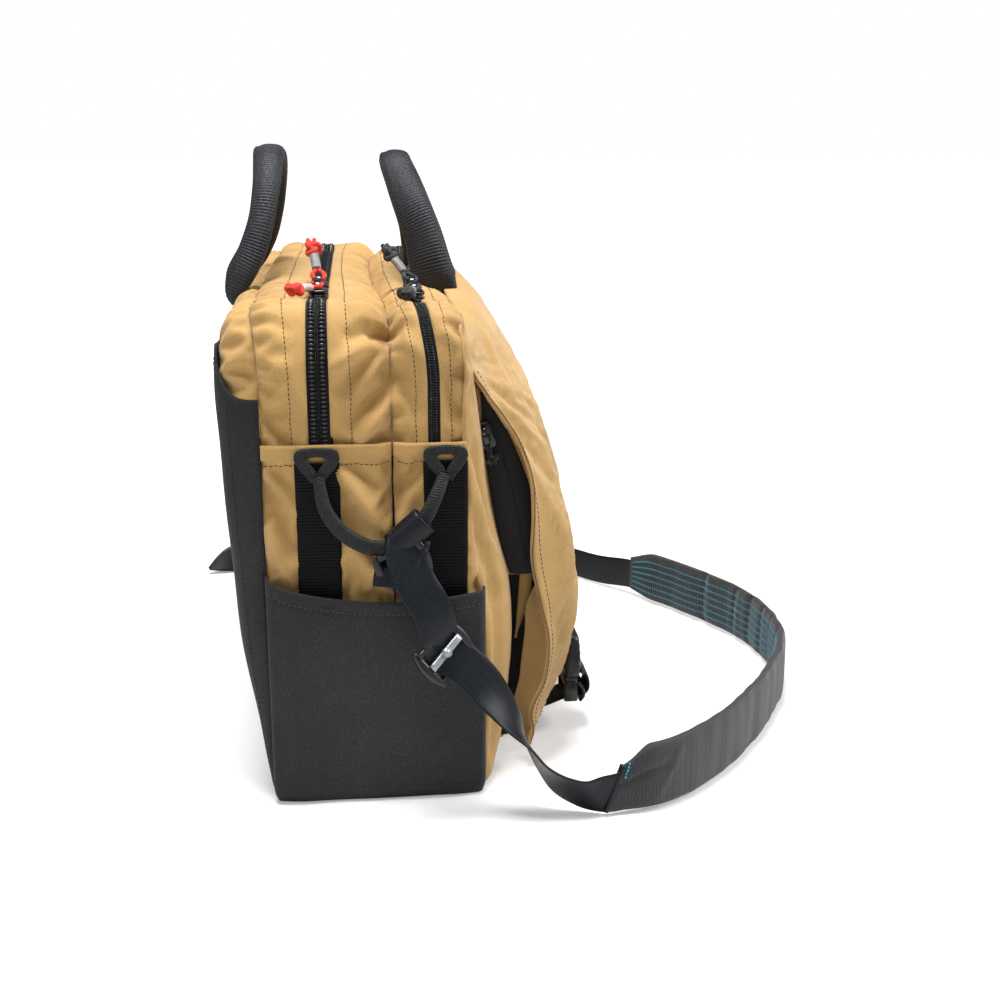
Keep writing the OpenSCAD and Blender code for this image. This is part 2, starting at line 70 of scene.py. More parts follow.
shell_low, shell_high = span("main_gusset_rear")
HALF = shell_high[0]                     # half the body's length
TOP = shell_high[2]                      # height of the crest
HEM = shell_low[2]                       # where the end panels meet the gussets
CORNER = 34.0                            # radius of the upper corners
SEAM = shell_high[1]                     # rear seam of the main compartment
VALLEY = span("divider_wall")[1][1]      # valley between the two compartments
MAIN_ZIP = middle("main_zipper")[1]
FRONT_ZIP = middle("front_zipper")[1]
WEB = 25.4                               # width of the webbing
STRIPS = (33.5, -40.5)                   # middles of the side webbing
BACK = span("back_sleeve")[1][1]
POCKET_END = span("front_pocket")[1][0]
FLAP_END = span("flap")[1][0]
BUCKLE_X = middle("left_buckle_plug")[0] * -1


# ---- small maths ----

def unit(v):
    v = np.asarray(v, float)
    return v / np.maximum(np.linalg.norm(v, axis=-1, keepdims=True), 1e-9)


def ramp(x, a, b):
    """0 before a, 1 after b, smooth between."""
    t = np.clip((np.asarray(x, float) - a) / (b - a), 0, 1)
    return t * t * (3 - 2 * t)


def bump(x, centre, width):
    return np.exp(-((np.asarray(x, float) - centre) / width) ** 2)


def curve(x, keys):
    """Smooth line through (place, value) keys, read at x."""
    k = np.array(sorted(keys), float)
    slope = np.gradient(k[:, 1], k[:, 0]) if len(k) > 2 else np.diff(k[:, 1]) / np.diff(k[:, 0]) * np.ones(2)
    x = np.asarray(x, float)
    i = np.clip(np.searchsorted(k[:, 0], x) - 1, 0, len(k) - 2)
    h = k[i + 1, 0] - k[i, 0]
    t = np.clip((x - k[i, 0]) / h, 0, 1)
    return ((1 + 2 * t) * (1 - t) ** 2 * k[i, 1] + t * (1 - t) ** 2 * h * slope[i]
            + t * t * (3 - 2 * t) * k[i + 1, 1] + t * t * (t - 1) * h * slope[i + 1])


def run_length(points):
    steps = np.linalg.norm(np.diff(points[:, :3], axis=0), axis=1)
    return np.concatenate([[0], np.cumsum(steps)])


def path(keys, step):
    """Smooth line through rows of x, y, z and any further values, cut into even steps."""
    keys = np.array(keys, float)
    place = run_length(keys)
    fine = np.linspace(0, place[-1], 40 * len(keys))
    rows = np.stack([curve(fine, list(zip(place, column))) for column in keys.T], axis=1)
    run = run_length(rows)
    even = np.linspace(0, run[-1], max(3, round(run[-1] / step) + 1))
    return np.stack([np.interp(even, run, column) for column in rows.T], axis=1)


def ripple(a, b, count, longest, shortest, seed):
    """Sum of random waves over two coordinates, between about -1 and 1."""
    draw = np.random.default_rng(seed)
    total = 0
    for _ in range(count):
        turn = draw.uniform(0, math.tau)
        wave = math.tau / draw.uniform(shortest, longest)
        total = total + np.cos(wave * (a * math.cos(turn) + b * math.sin(turn)) + draw.uniform(0, math.tau))
    return total / math.sqrt(count)


def fold(a, b, start, end, width, depth):
    """Soft ridge (or groove, for a negative depth) along a line from start to end."""
    start, end = np.array(start, float), np.array(end, float)
    line = end - start
    t = np.clip(((a - start[0]) * line[0] + (b - start[1]) * line[1]) / (line @ line), 0, 1)
    away = np.hypot(a - start[0] - t * line[0], b - start[1] - t * line[1])
    return depth * np.exp(-(away / width) ** 2) * (0.35 + 0.65 * np.sin(math.pi * (0.12 + 0.76 * t)))


def puckers(run, away, reach, pitch, seed):
    """Small pleats that fan out from a gathered seam; away is the distance from the seam."""
    sway = ripple(run, 0.6 * away, 6, 110, 26, seed)
    size = 0.55 + 0.45 * ripple(run, away, 5, 130, 40, seed + 1)
    pleat = (np.sin(math.tau * (run + 3.2 * sway) / pitch)
             + 0.55 * np.sin(math.tau * (run + 0.3 * away) / (0.58 * pitch)))
    return pleat * size * np.exp(-(away / reach) ** 2)


# ---- cloth ----

def normals(grid, outward):
    """Unit normals of a grid of points, on the side of the outward hint."""
    n = unit(np.cross(np.gradient(grid, axis=0), np.gradient(grid, axis=1)))
    return n * np.sign(np.sum(n * outward) or 1.0)


def settle(grid, spare_down, spare_across, hold, outward, reach=3.0, rounds=180, start=0.5, stiff=0.35,
           seed=1):
    """Cloth simulation on a grid: the cloth is longer than its place by the spare shares, is held where
    hold is 1, and settles into folds. No point moves more than reach from where it started."""
    rows, cols = grid.shape[:2]
    free = 1 - np.broadcast_to(hold, (rows, cols))[..., None]
    down = 1 + np.broadcast_to(spare_down, (rows, cols))
    over = 1 + np.broadcast_to(spare_across, (rows, cols))
    both = (down + over) / 2
    links = []
    for dr, dc, spare, share in ((1, 0, down, 1.0), (0, 1, over, 1.0), (1, 1, both, 0.4), (1, -1, both, 0.4),
                                 (2, 0, down, stiff), (0, 2, over, stiff), (4, 0, down, stiff / 2)):
        if dr >= rows or abs(dc) >= cols:
            continue
        first = (slice(0, rows - dr), slice(max(0, -dc), cols - max(0, dc)))
        second = (slice(dr, rows), slice(max(0, dc), cols + min(0, dc)))
        rest = np.linalg.norm(grid[second] - grid[first], axis=-1) * spare[first]
        links.append((first, second, rest[..., None], share))
    up = normals(grid, outward)
    a, b = np.meshgrid(np.arange(rows), np.arange(cols), indexing="ij")
    now = grid + up * (start * ripple(a, b, 14, 16, 5, seed))[..., None] * free
    before = now.copy()
    for _ in range(rounds):
        now, before = now + 0.88 * (now - before) * free, now
        move = np.zeros_like(now)
        weight = np.full((rows, cols, 1), 1e-6)
        for first, second, rest, share in links:
            gap = now[second] - now[first]
            length = np.linalg.norm(gap, axis=-1, keepdims=True)
            push = share * 0.5 * (1 - rest / np.maximum(length, 1e-6)) * gap
            move[first] += push
            move[second] -= push
            weight[first] += share
            weight[second] += share
        now = now + 1.5 * move / weight * free * 2
        away = now - grid
        far = np.linalg.norm(away, axis=-1, keepdims=True)
        now = grid + away * np.minimum(1, reach / np.maximum(far, 1e-6))
    return now


# ---- meshes ----

def piece_from(name, points, faces, stuff, corner_uv=None):
    mesh = bpy.data.meshes.new(name)
    mesh.from_pydata((np.asarray(points).reshape(-1, 3) * MM).tolist(), [], faces)
    mesh.materials.append(stuff)
    mesh.polygons.foreach_set("use_smooth", [True] * len(mesh.polygons))
    if corner_uv is not None:
        layer = mesh.uv_layers.new(name="cloth")
        layer.data.foreach_set("uv", (np.asarray(corner_uv) * MM).ravel())
    piece = bpy.data.objects.new(name, mesh)
    bpy.context.scene.collection.objects.link(piece)
    return piece


def grid_parts(grid, ring=False, outward=None):
    """Faces and the corner UVs, in millimetres of cloth, of a grid of points."""
    rows, cols = grid.shape[:2]
    index = np.arange(rows * cols).reshape(rows, cols)
    wide = grid
    if ring:
        index = np.concatenate([index, index[:, :1]], axis=1)
        wide = np.concatenate([grid, grid[:, :1]], axis=1)
    along = np.linalg.norm(np.diff(wide, axis=0), axis=-1).mean(axis=1)
    across = np.linalg.norm(np.diff(wide, axis=1), axis=-1).mean(axis=0)
    u = np.concatenate([[0], np.cumsum(along)])[:, None] + 0 * index
    v = np.concatenate([[0], np.cumsum(across)])[None, :] + 0 * index
    corners = [(slice(0, -1), slice(0, -1)), (slice(0, -1), slice(1, None)),
               (slice(1, None), slice(1, None)), (slice(1, None), slice(0, -1))]
    if outward is not None:
        n = np.cross(np.gradient(grid, axis=0), np.gradient(grid, axis=1))
        if np.sum(n * outward) > 0:
            corners = corners[::-1]
    quads = np.stack([index[c] for c in corners], axis=-1).reshape(-1, 4)
    uv = np.stack([np.stack([u[c], v[c]], axis=-1) for c in corners], axis=2).reshape(-1, 2)
    return quads.tolist(), uv


def sheet(name, grid, stuff, outward, thick=1.4):
    """Cloth over a grid of points, with its thickness on the inner side."""
    faces, uv = grid_parts(grid, outward=outward)
    piece = piece_from(name, grid, faces, stuff, uv)
    if thick:
        solid = piece.modifiers.new("thickness", "SOLIDIFY")
        solid.thickness = thick * MM
        solid.offset = -1
    return piece


def rings(name, grid, stuff):
    """Closed skin over rings of points, with flat ends."""
    rows, cols = grid.shape[:2]
    centre = grid.mean(axis=1, keepdims=True)
    faces, uv = grid_parts(grid, ring=True, outward=grid - centre)
    flip = faces[0][0] != 0
    ends = [list(range(cols)), [(rows - 1) * cols + i for i in range(cols)]]
    ends[0 if not flip else 1].reverse()
    uv = np.concatenate([uv, np.zeros((2 * cols, 2))])
    return piece_from(name, grid, faces + [ends[0], ends[1]], stuff, uv)


def many(name, templates, stuff):
    """One mesh out of several (points, faces, corner UVs) sets."""
    points, faces, uvs = [], [], []
    count = 0
    for p, f, uv in templates:
        p = np.asarray(p).reshape(-1, 3)
        points.append(p)
        faces += [[i + count for i in face] for face in f]
        uvs.append(uv if uv is not None else np.zeros((sum(len(face) for face in f), 2)))
        count += len(p)
    return piece_from(name, np.concatenate(points), faces, stuff, np.concatenate(uvs))


def pill(size, sides=6, rounds=3, square=1.0):
    """Points and faces of a rounded pill of the given x, y, z sizes."""
    latitude = np.linspace(-math.pi / 2, math.pi / 2, rounds + 2)[1:-1]
    turn = np.linspace(0, math.tau, sides, endpoint=False)
    cos, sin = np.cos(latitude)[:, None], np.sin(latitude)[:, None]
    body = np.stack([sin + 0 * turn, cos * np.cos(turn), cos * np.sin(turn)], axis=-1)
    body = np.sign(body) * np.abs(body) ** square
    points = np.concatenate([body.reshape(-1, 3), [[-1, 0, 0], [1, 0, 0]]]) * np.array(size) / 2
    faces = [[r * sides + c, r * sides + (c + 1) % sides, (r + 1) * sides + (c + 1) % sides,
              (r + 1) * sides + c] for r in range(rounds - 1) for c in range(sides)]
    last = (rounds - 1) * sides
    low, high = rounds * sides, rounds * sides + 1
    faces += [[low, (c + 1) % sides, c] for c in range(sides)]
    faces += [[high, last + c, last + (c + 1) % sides] for c in range(sides)]
    return points, faces


def copies(template, places, along, up):
    """Copies of a template at places, its x along the given directions and its z up."""
    points, faces = template
    along = unit(along)
    side = unit(np.cross(up, along))
    up = np.cross(along, side)
    axes = np.stack([along, side, up], axis=1)
    cloud = np.einsum("pk,nkc->npc", points, axes) + places[:, None, :]
    flat = [[i + len(points) * n for i in face] for n in range(len(places)) for face in faces]
    return cloud.reshape(-1, 3), flat, None


def along_line(line, up, pitch, margin=0.0):
    """Places, directions and normals at an even pitch along a line of points."""
    run = run_length(line)
    spots = np.arange(margin + pitch / 2, run[-1] - margin, pitch)
    at = np.stack([np.interp(spots, run, c) for c in line.T], axis=1)
    ahead = np.stack([np.interp(spots + 0.4 * pitch, run, c) for c in line.T], axis=1)
    lift = unit(np.stack([np.interp(spots, run, c) for c in np.broadcast_to(up, line.shape).T], axis=1))
    return at, ahead - at, lift


stitch_rows = {}                         # thread name to stitch copies, per body


def stitches(line, up, body="bag", thread="brown", pitch=3.0, long=2.3, wide=0.62, margin=0.0):
    """A row of stitches pressed into the cloth along a line."""
    at, ahead, lift = along_line(line, up, pitch, margin)
    row = copies(pill((long, wide, 0.5)), at + 0.12 * lift, ahead, lift)
    stitch_rows.setdefault((body, thread), []).append(row)


def section(count, wide, thick, power):
    """Rounded flat section as points of x across and y through, counter-clockwise."""
    x = np.sin(np.linspace(-math.pi / 2, math.pi / 2, count))
    y = (1 - np.abs(x) ** power) ** (1 / power)
    upper = np.stack([x, y], axis=1)
    lower = np.stack([x, -y], axis=1)[::-1][1:-1]
    return np.concatenate([upper, lower]) * np.array([wide, thick]) / 2


def frames(rows):
    """Centres, directions, side and upward vectors along rows of x, y, z, side x, y, z, ..."""
    centre = rows[:, :3]
    ahead = unit(np.gradient(centre, axis=0))
    side = rows[:, 3:6]
    side = unit(side - np.sum(side * ahead, axis=1, keepdims=True) * ahead)
    return centre, ahead, side, np.cross(ahead, side)


def webbing_grid(keys, step=1.6, pitch=0.0, rib=0.0, power=7, count=9, slant=0.0):
    """Rings of points along keys of x, y, z, side x, y, z, width, thickness; ribs run across."""
    rows = path(keys, step)
    centre, _, side, up = frames(rows)
    run = run_length(rows)
    shape = section(count, 1, 1, power)
    wide, thick = rows[:, 6][:, None, None], rows[:, 7][:, None, None]
    x = shape[None, :, 0, None]
    y = shape[None, :, 1, None]
    swell = 0
    if rib:
        phase = run[:, None, None] + slant * x * wide * np.sign(y + 1e-9)
        swell = rib * (np.abs(np.sin(math.pi * phase / pitch)) - 0.5)
    edge = 1 + swell / wide
    return (centre[:, None, :] + side[:, None, :] * x * wide * edge
            + up[:, None, :] * y * (thick + 2 * swell))


def tube_grid(points, radius, step=0.8, sides=10, flat=1.0, up=(0, 0, 1)):
    rows = path(points, step)
    ahead = unit(np.gradient(rows[:, :3], axis=0))
    side = unit(np.cross(np.broadcast_to(up, ahead.shape), ahead))
    for i in range(1, len(side)):        # carries the side vector along without a sudden twist
        carried = side[i - 1] - (side[i - 1] @ ahead[i]) * ahead[i]
        side[i] = carried / max(np.linalg.norm(carried), 1e-9)
    high = np.cross(ahead, side)
    turn = np.linspace(0, math.tau, sides, endpoint=False)[None, :, None]
    return rows[:, None, :3] + radius * (side[:, None] * np.cos(turn) + flat * high[:, None] * np.sin(turn))


def ring_parts(grid):
    rows, cols = grid.shape[:2]
    centre = grid.mean(axis=1, keepdims=True)
    faces, uv = grid_parts(grid, ring=True, outward=grid - centre)
    ends = [list(range(cols)), [(rows - 1) * cols + i for i in range(cols)][::-1]]
    if faces[0][0] == 0:
        ends = [e[::-1] for e in ends]
    return grid.reshape(-1, 3), faces + ends, np.concatenate([uv, np.zeros((2 * cols, 2))])


def block(low, high, bevel=0.6):
    """Points and faces of a box with bevelled edges, as a stretched and squared pill."""
    low, high = np.array(low, float), np.array(high, float)
    size = high - low
    inset = np.minimum(bevel, size / 2.2)
    points, faces = [], []
    signs = [(a, b, c) for a in (-1, 1) for b in (-1, 1) for c in (-1, 1)]
    for s in signs:
        s = np.array(s)
        for axis in range(3):
            pull = inset * (np.arange(3) != axis)
            points.append((size / 2 - pull) * s)
    index = {s: i for i, s in enumerate(signs)}
    for axis in range(3):
        b, c = [i for i in range(3) if i != axis]
        for side in (-1, 1):
            loop = []
            for sb, sc in ((-1, -1), (1, -1), (1, 1), (-1, 1)):
                s = [0, 0, 0]
                s[axis], s[b], s[c] = side, sb, sc
                loop.append(3 * index[tuple(s)] + axis)
            faces.append(loop)
        for sb in (-1, 1):
            for sc in (-1, 1):
                near, far_ = [0, 0, 0], [0, 0, 0]
                near[axis], far_[axis] = -1, 1
                near[b] = far_[b] = sb
                near[c] = far_[c] = sc
                i, j = 3 * index[tuple(near)], 3 * index[tuple(far_)]
                faces.append([i + b, j + b, j + c, i + c])
    for s in signs:
        i = 3 * index[s]
        faces.append([i, i + 1, i + 2])
    points = np.array(points)
    for k, face in enumerate(faces):
        loop = points[face]
        n = np.cross(loop[1] - loop[0], loop[2] - loop[0])
        if n @ loop.mean(axis=0) < 0:
            faces[k] = face[::-1]
    return points + (low + high) / 2, faces, None


def fit(piece, body, slot, *nodes):
    """Puts a piece on its body and hides the CAD nodes it stands for; its finish, slot, is not used."""
    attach(piece, body)
    if nodes:
        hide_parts(*nodes)
    return piece


# ---- materials ----

class Paint:
    """A node material, built a node at a time."""

    def __init__(self, name):
        self.stuff = bpy.data.materials.new(name)
        self.stuff.use_nodes = True
        self.tree = self.stuff.node_tree
        self.shader = self.tree.nodes["Principled BSDF"]

    def node(self, kind, settings=(), **inputs):
        made = self.tree.nodes.new("ShaderNode" + kind)
        for name, value in dict(settings).items():
            setattr(made, name, value)
        for name, value in inputs.items():
            self.put(made, name.replace("_", " "), value)
        return made

    def put(self, node, name, value):
        socket = node.inputs[int(name)] if name.isdigit() else node.inputs[name]
        if isinstance(value, bpy.types.NodeSocket):
            self.tree.links.new(value, socket)
        elif isinstance(value, bpy.types.Node):
            self.tree.links.new(value.outputs[0], socket)
        else:
            socket.default_value = value

    def sum(self, kind, a, b=0.0, c=0.0):
        made = self.tree.nodes.new("ShaderNodeMath")
        made.operation = kind
        for socket, value in zip(made.inputs, (a, b, c)):
            if isinstance(value, (int, float)):
                socket.default_value = value
            else:
                self.tree.links.new(value.outputs[0] if isinstance(value, bpy.types.Node) else value, socket)
        return made.outputs[0]

    def noise(self, scale, detail=3.0, where="Object", rough=0.55):
        spot = self.node("TexCoord").outputs[where]
        return self.node("TexNoise", Vector=spot, Scale=scale, Detail=detail, Roughness=rough).outputs["Fac"]

    def cloth_place(self):
        """Sockets for the distance along and across the cloth, in metres."""
        apart = self.node("SeparateXYZ", Vector=self.node("TexCoord").outputs["UV"])
        return apart.outputs[0], apart.outputs[1]

    def wave(self, distance, pitch):
        """0 to 1 wave with the given pitch in millimetres."""
        return self.sum("MULTIPLY_ADD", self.sum("SINE",
                                                 self.sum("MULTIPLY", distance, math.tau / (pitch * MM))),
                        0.5, 0.5)

    def shade(self, fac, low, high, a=0.3, b=0.7):
        """Colour from low to high as fac goes from a to b."""
        made = self.node("ValToRGB", Fac=fac)
        made.color_ramp.elements[0].position, made.color_ramp.elements[1].position = a, b
        made.color_ramp.elements[0].color = (*low, 1)
        made.color_ramp.elements[1].color = (*high, 1)
        return made.outputs[0]

    def mix(self, fac, a, b, kind="MIX"):
        made = self.node("Mix", {"data_type": "RGBA", "blend_type": kind})
        for socket, value in zip((made.inputs[0], made.inputs[6], made.inputs[7]), (fac, a, b)):
            if isinstance(value, bpy.types.NodeSocket):
                self.tree.links.new(value, socket)
            else:
                socket.default_value = value
        return made.outputs[2]

    def bumps(self, height, distance, strength=1.0):
        made = self.node("Bump", Height=height, Distance=distance * MM, Strength=strength)
        self.put(self.shader, "Normal", made.outputs[0])

    def finish(self, colour, rough, sheen=0.0, specular=0.5, metal=0.0):
        self.put(self.shader, "Base Color", colour)
        self.put(self.shader, "Roughness", rough)
        self.put(self.shader, "Sheen Weight", sheen)
        self.put(self.shader, "Sheen Roughness", 0.45)
        self.put(self.shader, "Specular IOR Level", specular)
        self.put(self.shader, "Metallic", metal)
        return self.stuff


def tint(colour, share):
    return tuple(min(1.0, c * share) for c in colour)


def twill_cloth(name, colour, pitch=0.85, sheen=0.25):
    """Canvas woven in a diagonal twill, with uneven yarns and faded patches."""
    p = Paint(name)
    along, across = p.cloth_place()
    twill = p.wave(p.sum("ADD", along, across), pitch)
    yarn = p.wave(p.sum("SUBTRACT", along, p.sum("MULTIPLY", across, 0.35)), pitch * 0.42)
    weave = p.sum("ADD", p.sum("MULTIPLY", twill, 0.65), p.sum("MULTIPLY", yarn, 0.35))
    fuzz = p.noise(1400, 2.0)
    patches = p.noise(14, 4.0)
    base = p.shade(patches, tint(colour, 0.9), tint(colour, 1.08), 0.35, 0.68)
    speck = p.shade(fuzz, (0.84, 0.83, 0.81), (1.06, 1.05, 1.04), 0.35, 0.7)
    lines = p.shade(weave, (0.88, 0.87, 0.85), (1.03, 1.03, 1.03), 0.1, 0.8)
    tone = p.mix(1.0, p.mix(1.0, base, speck, "MULTIPLY"), lines, "MULTIPLY")
    height = p.sum("ADD", weave, p.sum("MULTIPLY", fuzz, 0.5))
    p.bumps(height, 0.12, 0.8)
    return p.finish(tone, p.sum("MULTIPLY_ADD", patches, 0.12, 0.74), sheen, 0.25)


def laminate(name, colour):
    """Matt coated cloth with a pebbled, faintly speckled face."""
    p = Paint(name)
    grain = p.noise(850, 3.0)
    speck = p.noise(1100, 2.0)
    patches = p.noise(12, 6.0)
    base = p.shade(patches, tint(colour, 0.72), tint(colour, 1.35), 0.32, 0.68)
    dots = p.shade(speck, (0.85, 0.85, 0.85), (2.3, 2.3, 2.35), 0.5, 0.8)
    p.bumps(p.sum("ADD", grain, p.sum("MULTIPLY", speck, 0.4)), 0.16, 0.75)
    return p.finish(p.mix(1.0, base, dots, "MULTIPLY"), p.sum("MULTIPLY_ADD", grain, 0.2, 0.62), 0.05, 0.35)


def webbing(name, colour, pitch=0.9, rough=0.52, sheen=0.04, glint=2.2, rib=0.0, shine=0.25):
    """Woven nylon: fine yarns along it and a broken diagonal, with a soft sheen, painted glints in random
    streaks, and, if it has ribs, painted shade in the gaps between them with painted light on their crests.
    """
    p = Paint(name)
    along, across = p.cloth_place()
    yarn = p.wave(across, pitch * 0.8)
    step = p.wave(p.sum("ADD", along, p.sum("MULTIPLY", p.wave(across, pitch * 4), 0.8 * pitch * MM)), pitch)
    weave = p.sum("MULTIPLY", p.sum("MULTIPLY_ADD", yarn, 0.6, 0.4), p.sum("MULTIPLY_ADD", step, 0.6, 0.4))
    fuzz = p.noise(900, 3.0)
    base = p.shade(weave, tint(colour, 0.6), tint(colour, 1.25), 0.1, 0.8)
    # Painted highlight: noise streaks lift the colour by up to glint times 0.6, as glints on the satin.
    painted_glint_streaks = p.shade(fuzz, (0.75, 0.75, 0.76), (glint * 0.6, glint * 0.6, glint * 0.62), 0.35, 0.75)
    tone = p.mix(1.0, base, painted_glint_streaks, "MULTIPLY")
    if rib:
        # Painted light and shade: rib crests lightened and the gaps between ribs darkened, over ribs the
        # geometry already has.
        painted_rib_shading = p.shade(p.wave(along, rib), (0.28, 0.28, 0.28), (1.25, 1.25, 1.25), 0.0, 0.55)
        tone = p.mix(1.0, tone, painted_rib_shading, "MULTIPLY")
    p.bumps(p.sum("ADD", weave, p.sum("MULTIPLY", fuzz, 0.3)), 0.14, 0.8)
    return p.finish(tone, rough, sheen, shine)


def herringbone(name, colour):
    """Pad cloth: zigzag twill in narrow lanes that run across the pad."""
    p = Paint(name)
    along, across = p.cloth_place()
    zigzag = p.sum("PINGPONG", along, 2.4 * MM)
    twill = p.wave(p.sum("ADD", across, p.sum("MULTIPLY", zigzag, 1.1)), 1.5)
    lanes = p.wave(along, 4.8)
    fuzz = p.noise(1100, 2.0)
    base = p.shade(twill, tint(colour, 0.55), tint(colour, 1.35), 0.15, 0.85)
    speck = p.shade(fuzz, (0.8, 0.8, 0.8), (1.35, 1.35, 1.37), 0.35, 0.72)
    height = p.sum("ADD", twill, p.sum("MULTIPLY", lanes, 0.2))
    p.bumps(p.sum("ADD", height, p.sum("MULTIPLY", fuzz, 0.3)), 0.16, 0.85)
    return p.finish(p.mix(1.0, base, speck, "MULTIPLY"), 0.62, 0.2, 0.4)


def moulded(name, colour, rough=0.36, scratch=0.5, metal=0.0):
    """Moulded or cast part: fine texture and rubbed, lighter patches."""
    p = Paint(name)
    texture = p.noise(700, 2.0)
    rub = p.noise(60, 4.0)
    base = p.shade(rub, tint(colour, 0.85), tint(colour, 1.5), 0.45, 0.85)
    p.bumps(texture, 0.05, scratch)
    return p.finish(base, p.sum("MULTIPLY_ADD", rub, 0.22, rough - 0.1), 0.0, 0.5, metal)


def braid(name, colour, pitch=1.1):
    """Cord sheath of crossing strands."""
    p = Paint(name)
    along, across = p.cloth_place()
    left = p.wave(p.sum("ADD", along, across), pitch)
    right = p.wave(p.sum("SUBTRACT", along, across), pitch)
    weave = p.sum("MAXIMUM", left, right)
    fuzz = p.noise(1200, 2.0)
    base = p.shade(weave, tint(colour, 0.5), tint(colour, 1.12), 0.55, 0.95)
    p.bumps(p.sum("ADD", weave, p.sum("MULTIPLY", fuzz, 0.4)), 0.2, 0.9)
    return p.finish(base, 0.6, 0.2, 0.35)


def plain_weave(name, colour, pitch=0.7, rough=0.8):
    """Square weave, for linings, tapes and thread."""
    p = Paint(name)
    along, across = p.cloth_place()
    weave = p.sum("MULTIPLY", p.wave(along, pitch), p.wave(across, pitch))
    fuzz = p.noise(1000, 3.0)
    base = p.shade(weave, tint(colour, 0.75), tint(colour, 1.15), 0.05, 0.6)
    speck = p.shade(fuzz, (0.85, 0.85, 0.85), (1.15, 1.15, 1.15), 0.35, 0.7)
    p.bumps(p.sum("ADD", weave, p.sum("MULTIPLY", fuzz, 0.4)), 0.1, 0.8)
    return p.finish(p.mix(1.0, base, speck, "MULTIPLY"), rough, 0.15, 0.3)


def cellular(name, colour):
    """Closed-cell foam or pressed board."""
    p = Paint(name)
    cells = p.node("TexVoronoi", Vector=p.node("TexCoord").outputs["Object"], Scale=900.0).outputs["Distance"]
    grain = p.noise(300, 4.0)
    base = p.shade(grain, tint(colour, 0.8), tint(colour, 1.2), 0.3, 0.7)
    p.bumps(cells, 0.2, 0.7)
    return p.finish(base, 0.85, 0.0, 0.3)


TAN = (0.56, 0.345, 0.124)
tan_cloth = twill_cloth("tan_canvas", TAN)
# Painted shade: the tan canvas at 0.7 of its colour, for the flap's inner facing, which lies in shade.
painted_shade_tan = twill_cloth("tan_canvas_painted_shade", tint(TAN, 0.7))
charcoal = laminate("charcoal_laminate", (0.0155, 0.0155, 0.0170))
lining = plain_weave("lining", (0.30, 0.27, 0.21))
# Webbings with rib set carry painted light and shade over their ribs; every webbing carries painted glint
# streaks.
black_web = webbing("black_webbing", (0.0055, 0.006, 0.007), sheen=0.0, rib=2.0, shine=0.1)
strap_web = webbing("strap_webbing", (0.0046, 0.0062, 0.0084), 1.3, 0.34, 0.0, 3.4)
ribbed_web = webbing("ribbed_webbing", (0.009, 0.0095, 0.011), 1.0, 0.55, 0.04, rib=2.0)
loop_web = webbing("loop_webbing", (0.017, 0.017, 0.019), 1.0, 0.55, 0.06, rib=1.55)
handle_web = webbing("handle_webbing", (0.019, 0.021, 0.025), 1.0, 0.5, 0.06, rib=2.1)
pad_cloth = herringbone("pad_fabric", (0.026, 0.026, 0.0295))
acetal = moulded("black_hardware", (0.010, 0.010, 0.0115), 0.36)
gloss = moulded("slider_metal", (0.008, 0.008, 0.009), 0.16, 0.15)
coil = moulded("zipper_coil", (0.009, 0.009, 0.010), 0.2, 0.1)
tape = plain_weave("zipper_tape", (0.005, 0.005, 0.006), 0.8, 0.7)
red_cord = braid("red_cord", (0.82, 0.040, 0.022))
black_cord = braid("black_cord", (0.022, 0.027, 0.031))
grey_tube = moulded("grey_tube", (0.21, 0.21, 0.215), 0.5, 0.4)
clear_tube = moulded("pale_tube", (0.62, 0.52, 0.50), 0.3, 0.2)
teal = moulded("grip_teal", (0.026, 0.21, 0.30), 0.5, 0.3)
steel = moulded("bare_steel", (0.36, 0.38, 0.40), 0.4, 0.3, 0.7)
brown_thread = plain_weave("brown_thread", (0.045, 0.030, 0.020), 0.5)
grey_thread = plain_weave("grey_thread", (0.095, 0.09, 0.085), 0.5)
black_thread = plain_weave("black_thread", (0.012, 0.012, 0.013), 0.5)
teal_thread = plain_weave("teal_thread", (0.02, 0.55, 0.85), 0.5)
foam = cellular("foam", (0.14, 0.14, 0.15))
board = cellular("stiffener", (0.20, 0.18, 0.14))


# ---- body: arched gussets and zippers ----

LEG = TOP - CORNER - HEM                 # straight part of the arch above the hem
BEND = CORNER * math.pi / 2
ARCH = 2 * (LEG + BEND) + 2 * (HALF - CORNER)


def arch(s, depth, leg=LEG):
    """x, z and the outward direction of the arch at run s from the near hem, sunk in by depth."""
    total = 2 * (leg + BEND) + 2 * (HALF - CORNER)
    far = s > total / 2
    t = np.where(far, total - s, s)
    angle = np.clip((t - leg) / CORNER, 0, math.pi / 2)
    flat = np.maximum(0, t - leg - BEND)
    low = np.minimum(t, leg)
    x = -HALF + CORNER * (1 - np.cos(angle)) + flat + depth * np.cos(angle)
    z = (TOP - CORNER - leg) + low + CORNER * np.sin(angle) - depth * np.sin(angle)
    side = np.where(far, -1, 1)
    return side * x, z, side * -np.cos(angle), np.sin(angle)


def top_share(s, leg=LEG):
    """0 on the end faces, 1 on the top."""
    total = 2 * (leg + BEND) + 2 * (HALF - CORNER)
    t = np.minimum(s, total - s)
    return ramp(t, leg - 12, leg + BEND + 4)


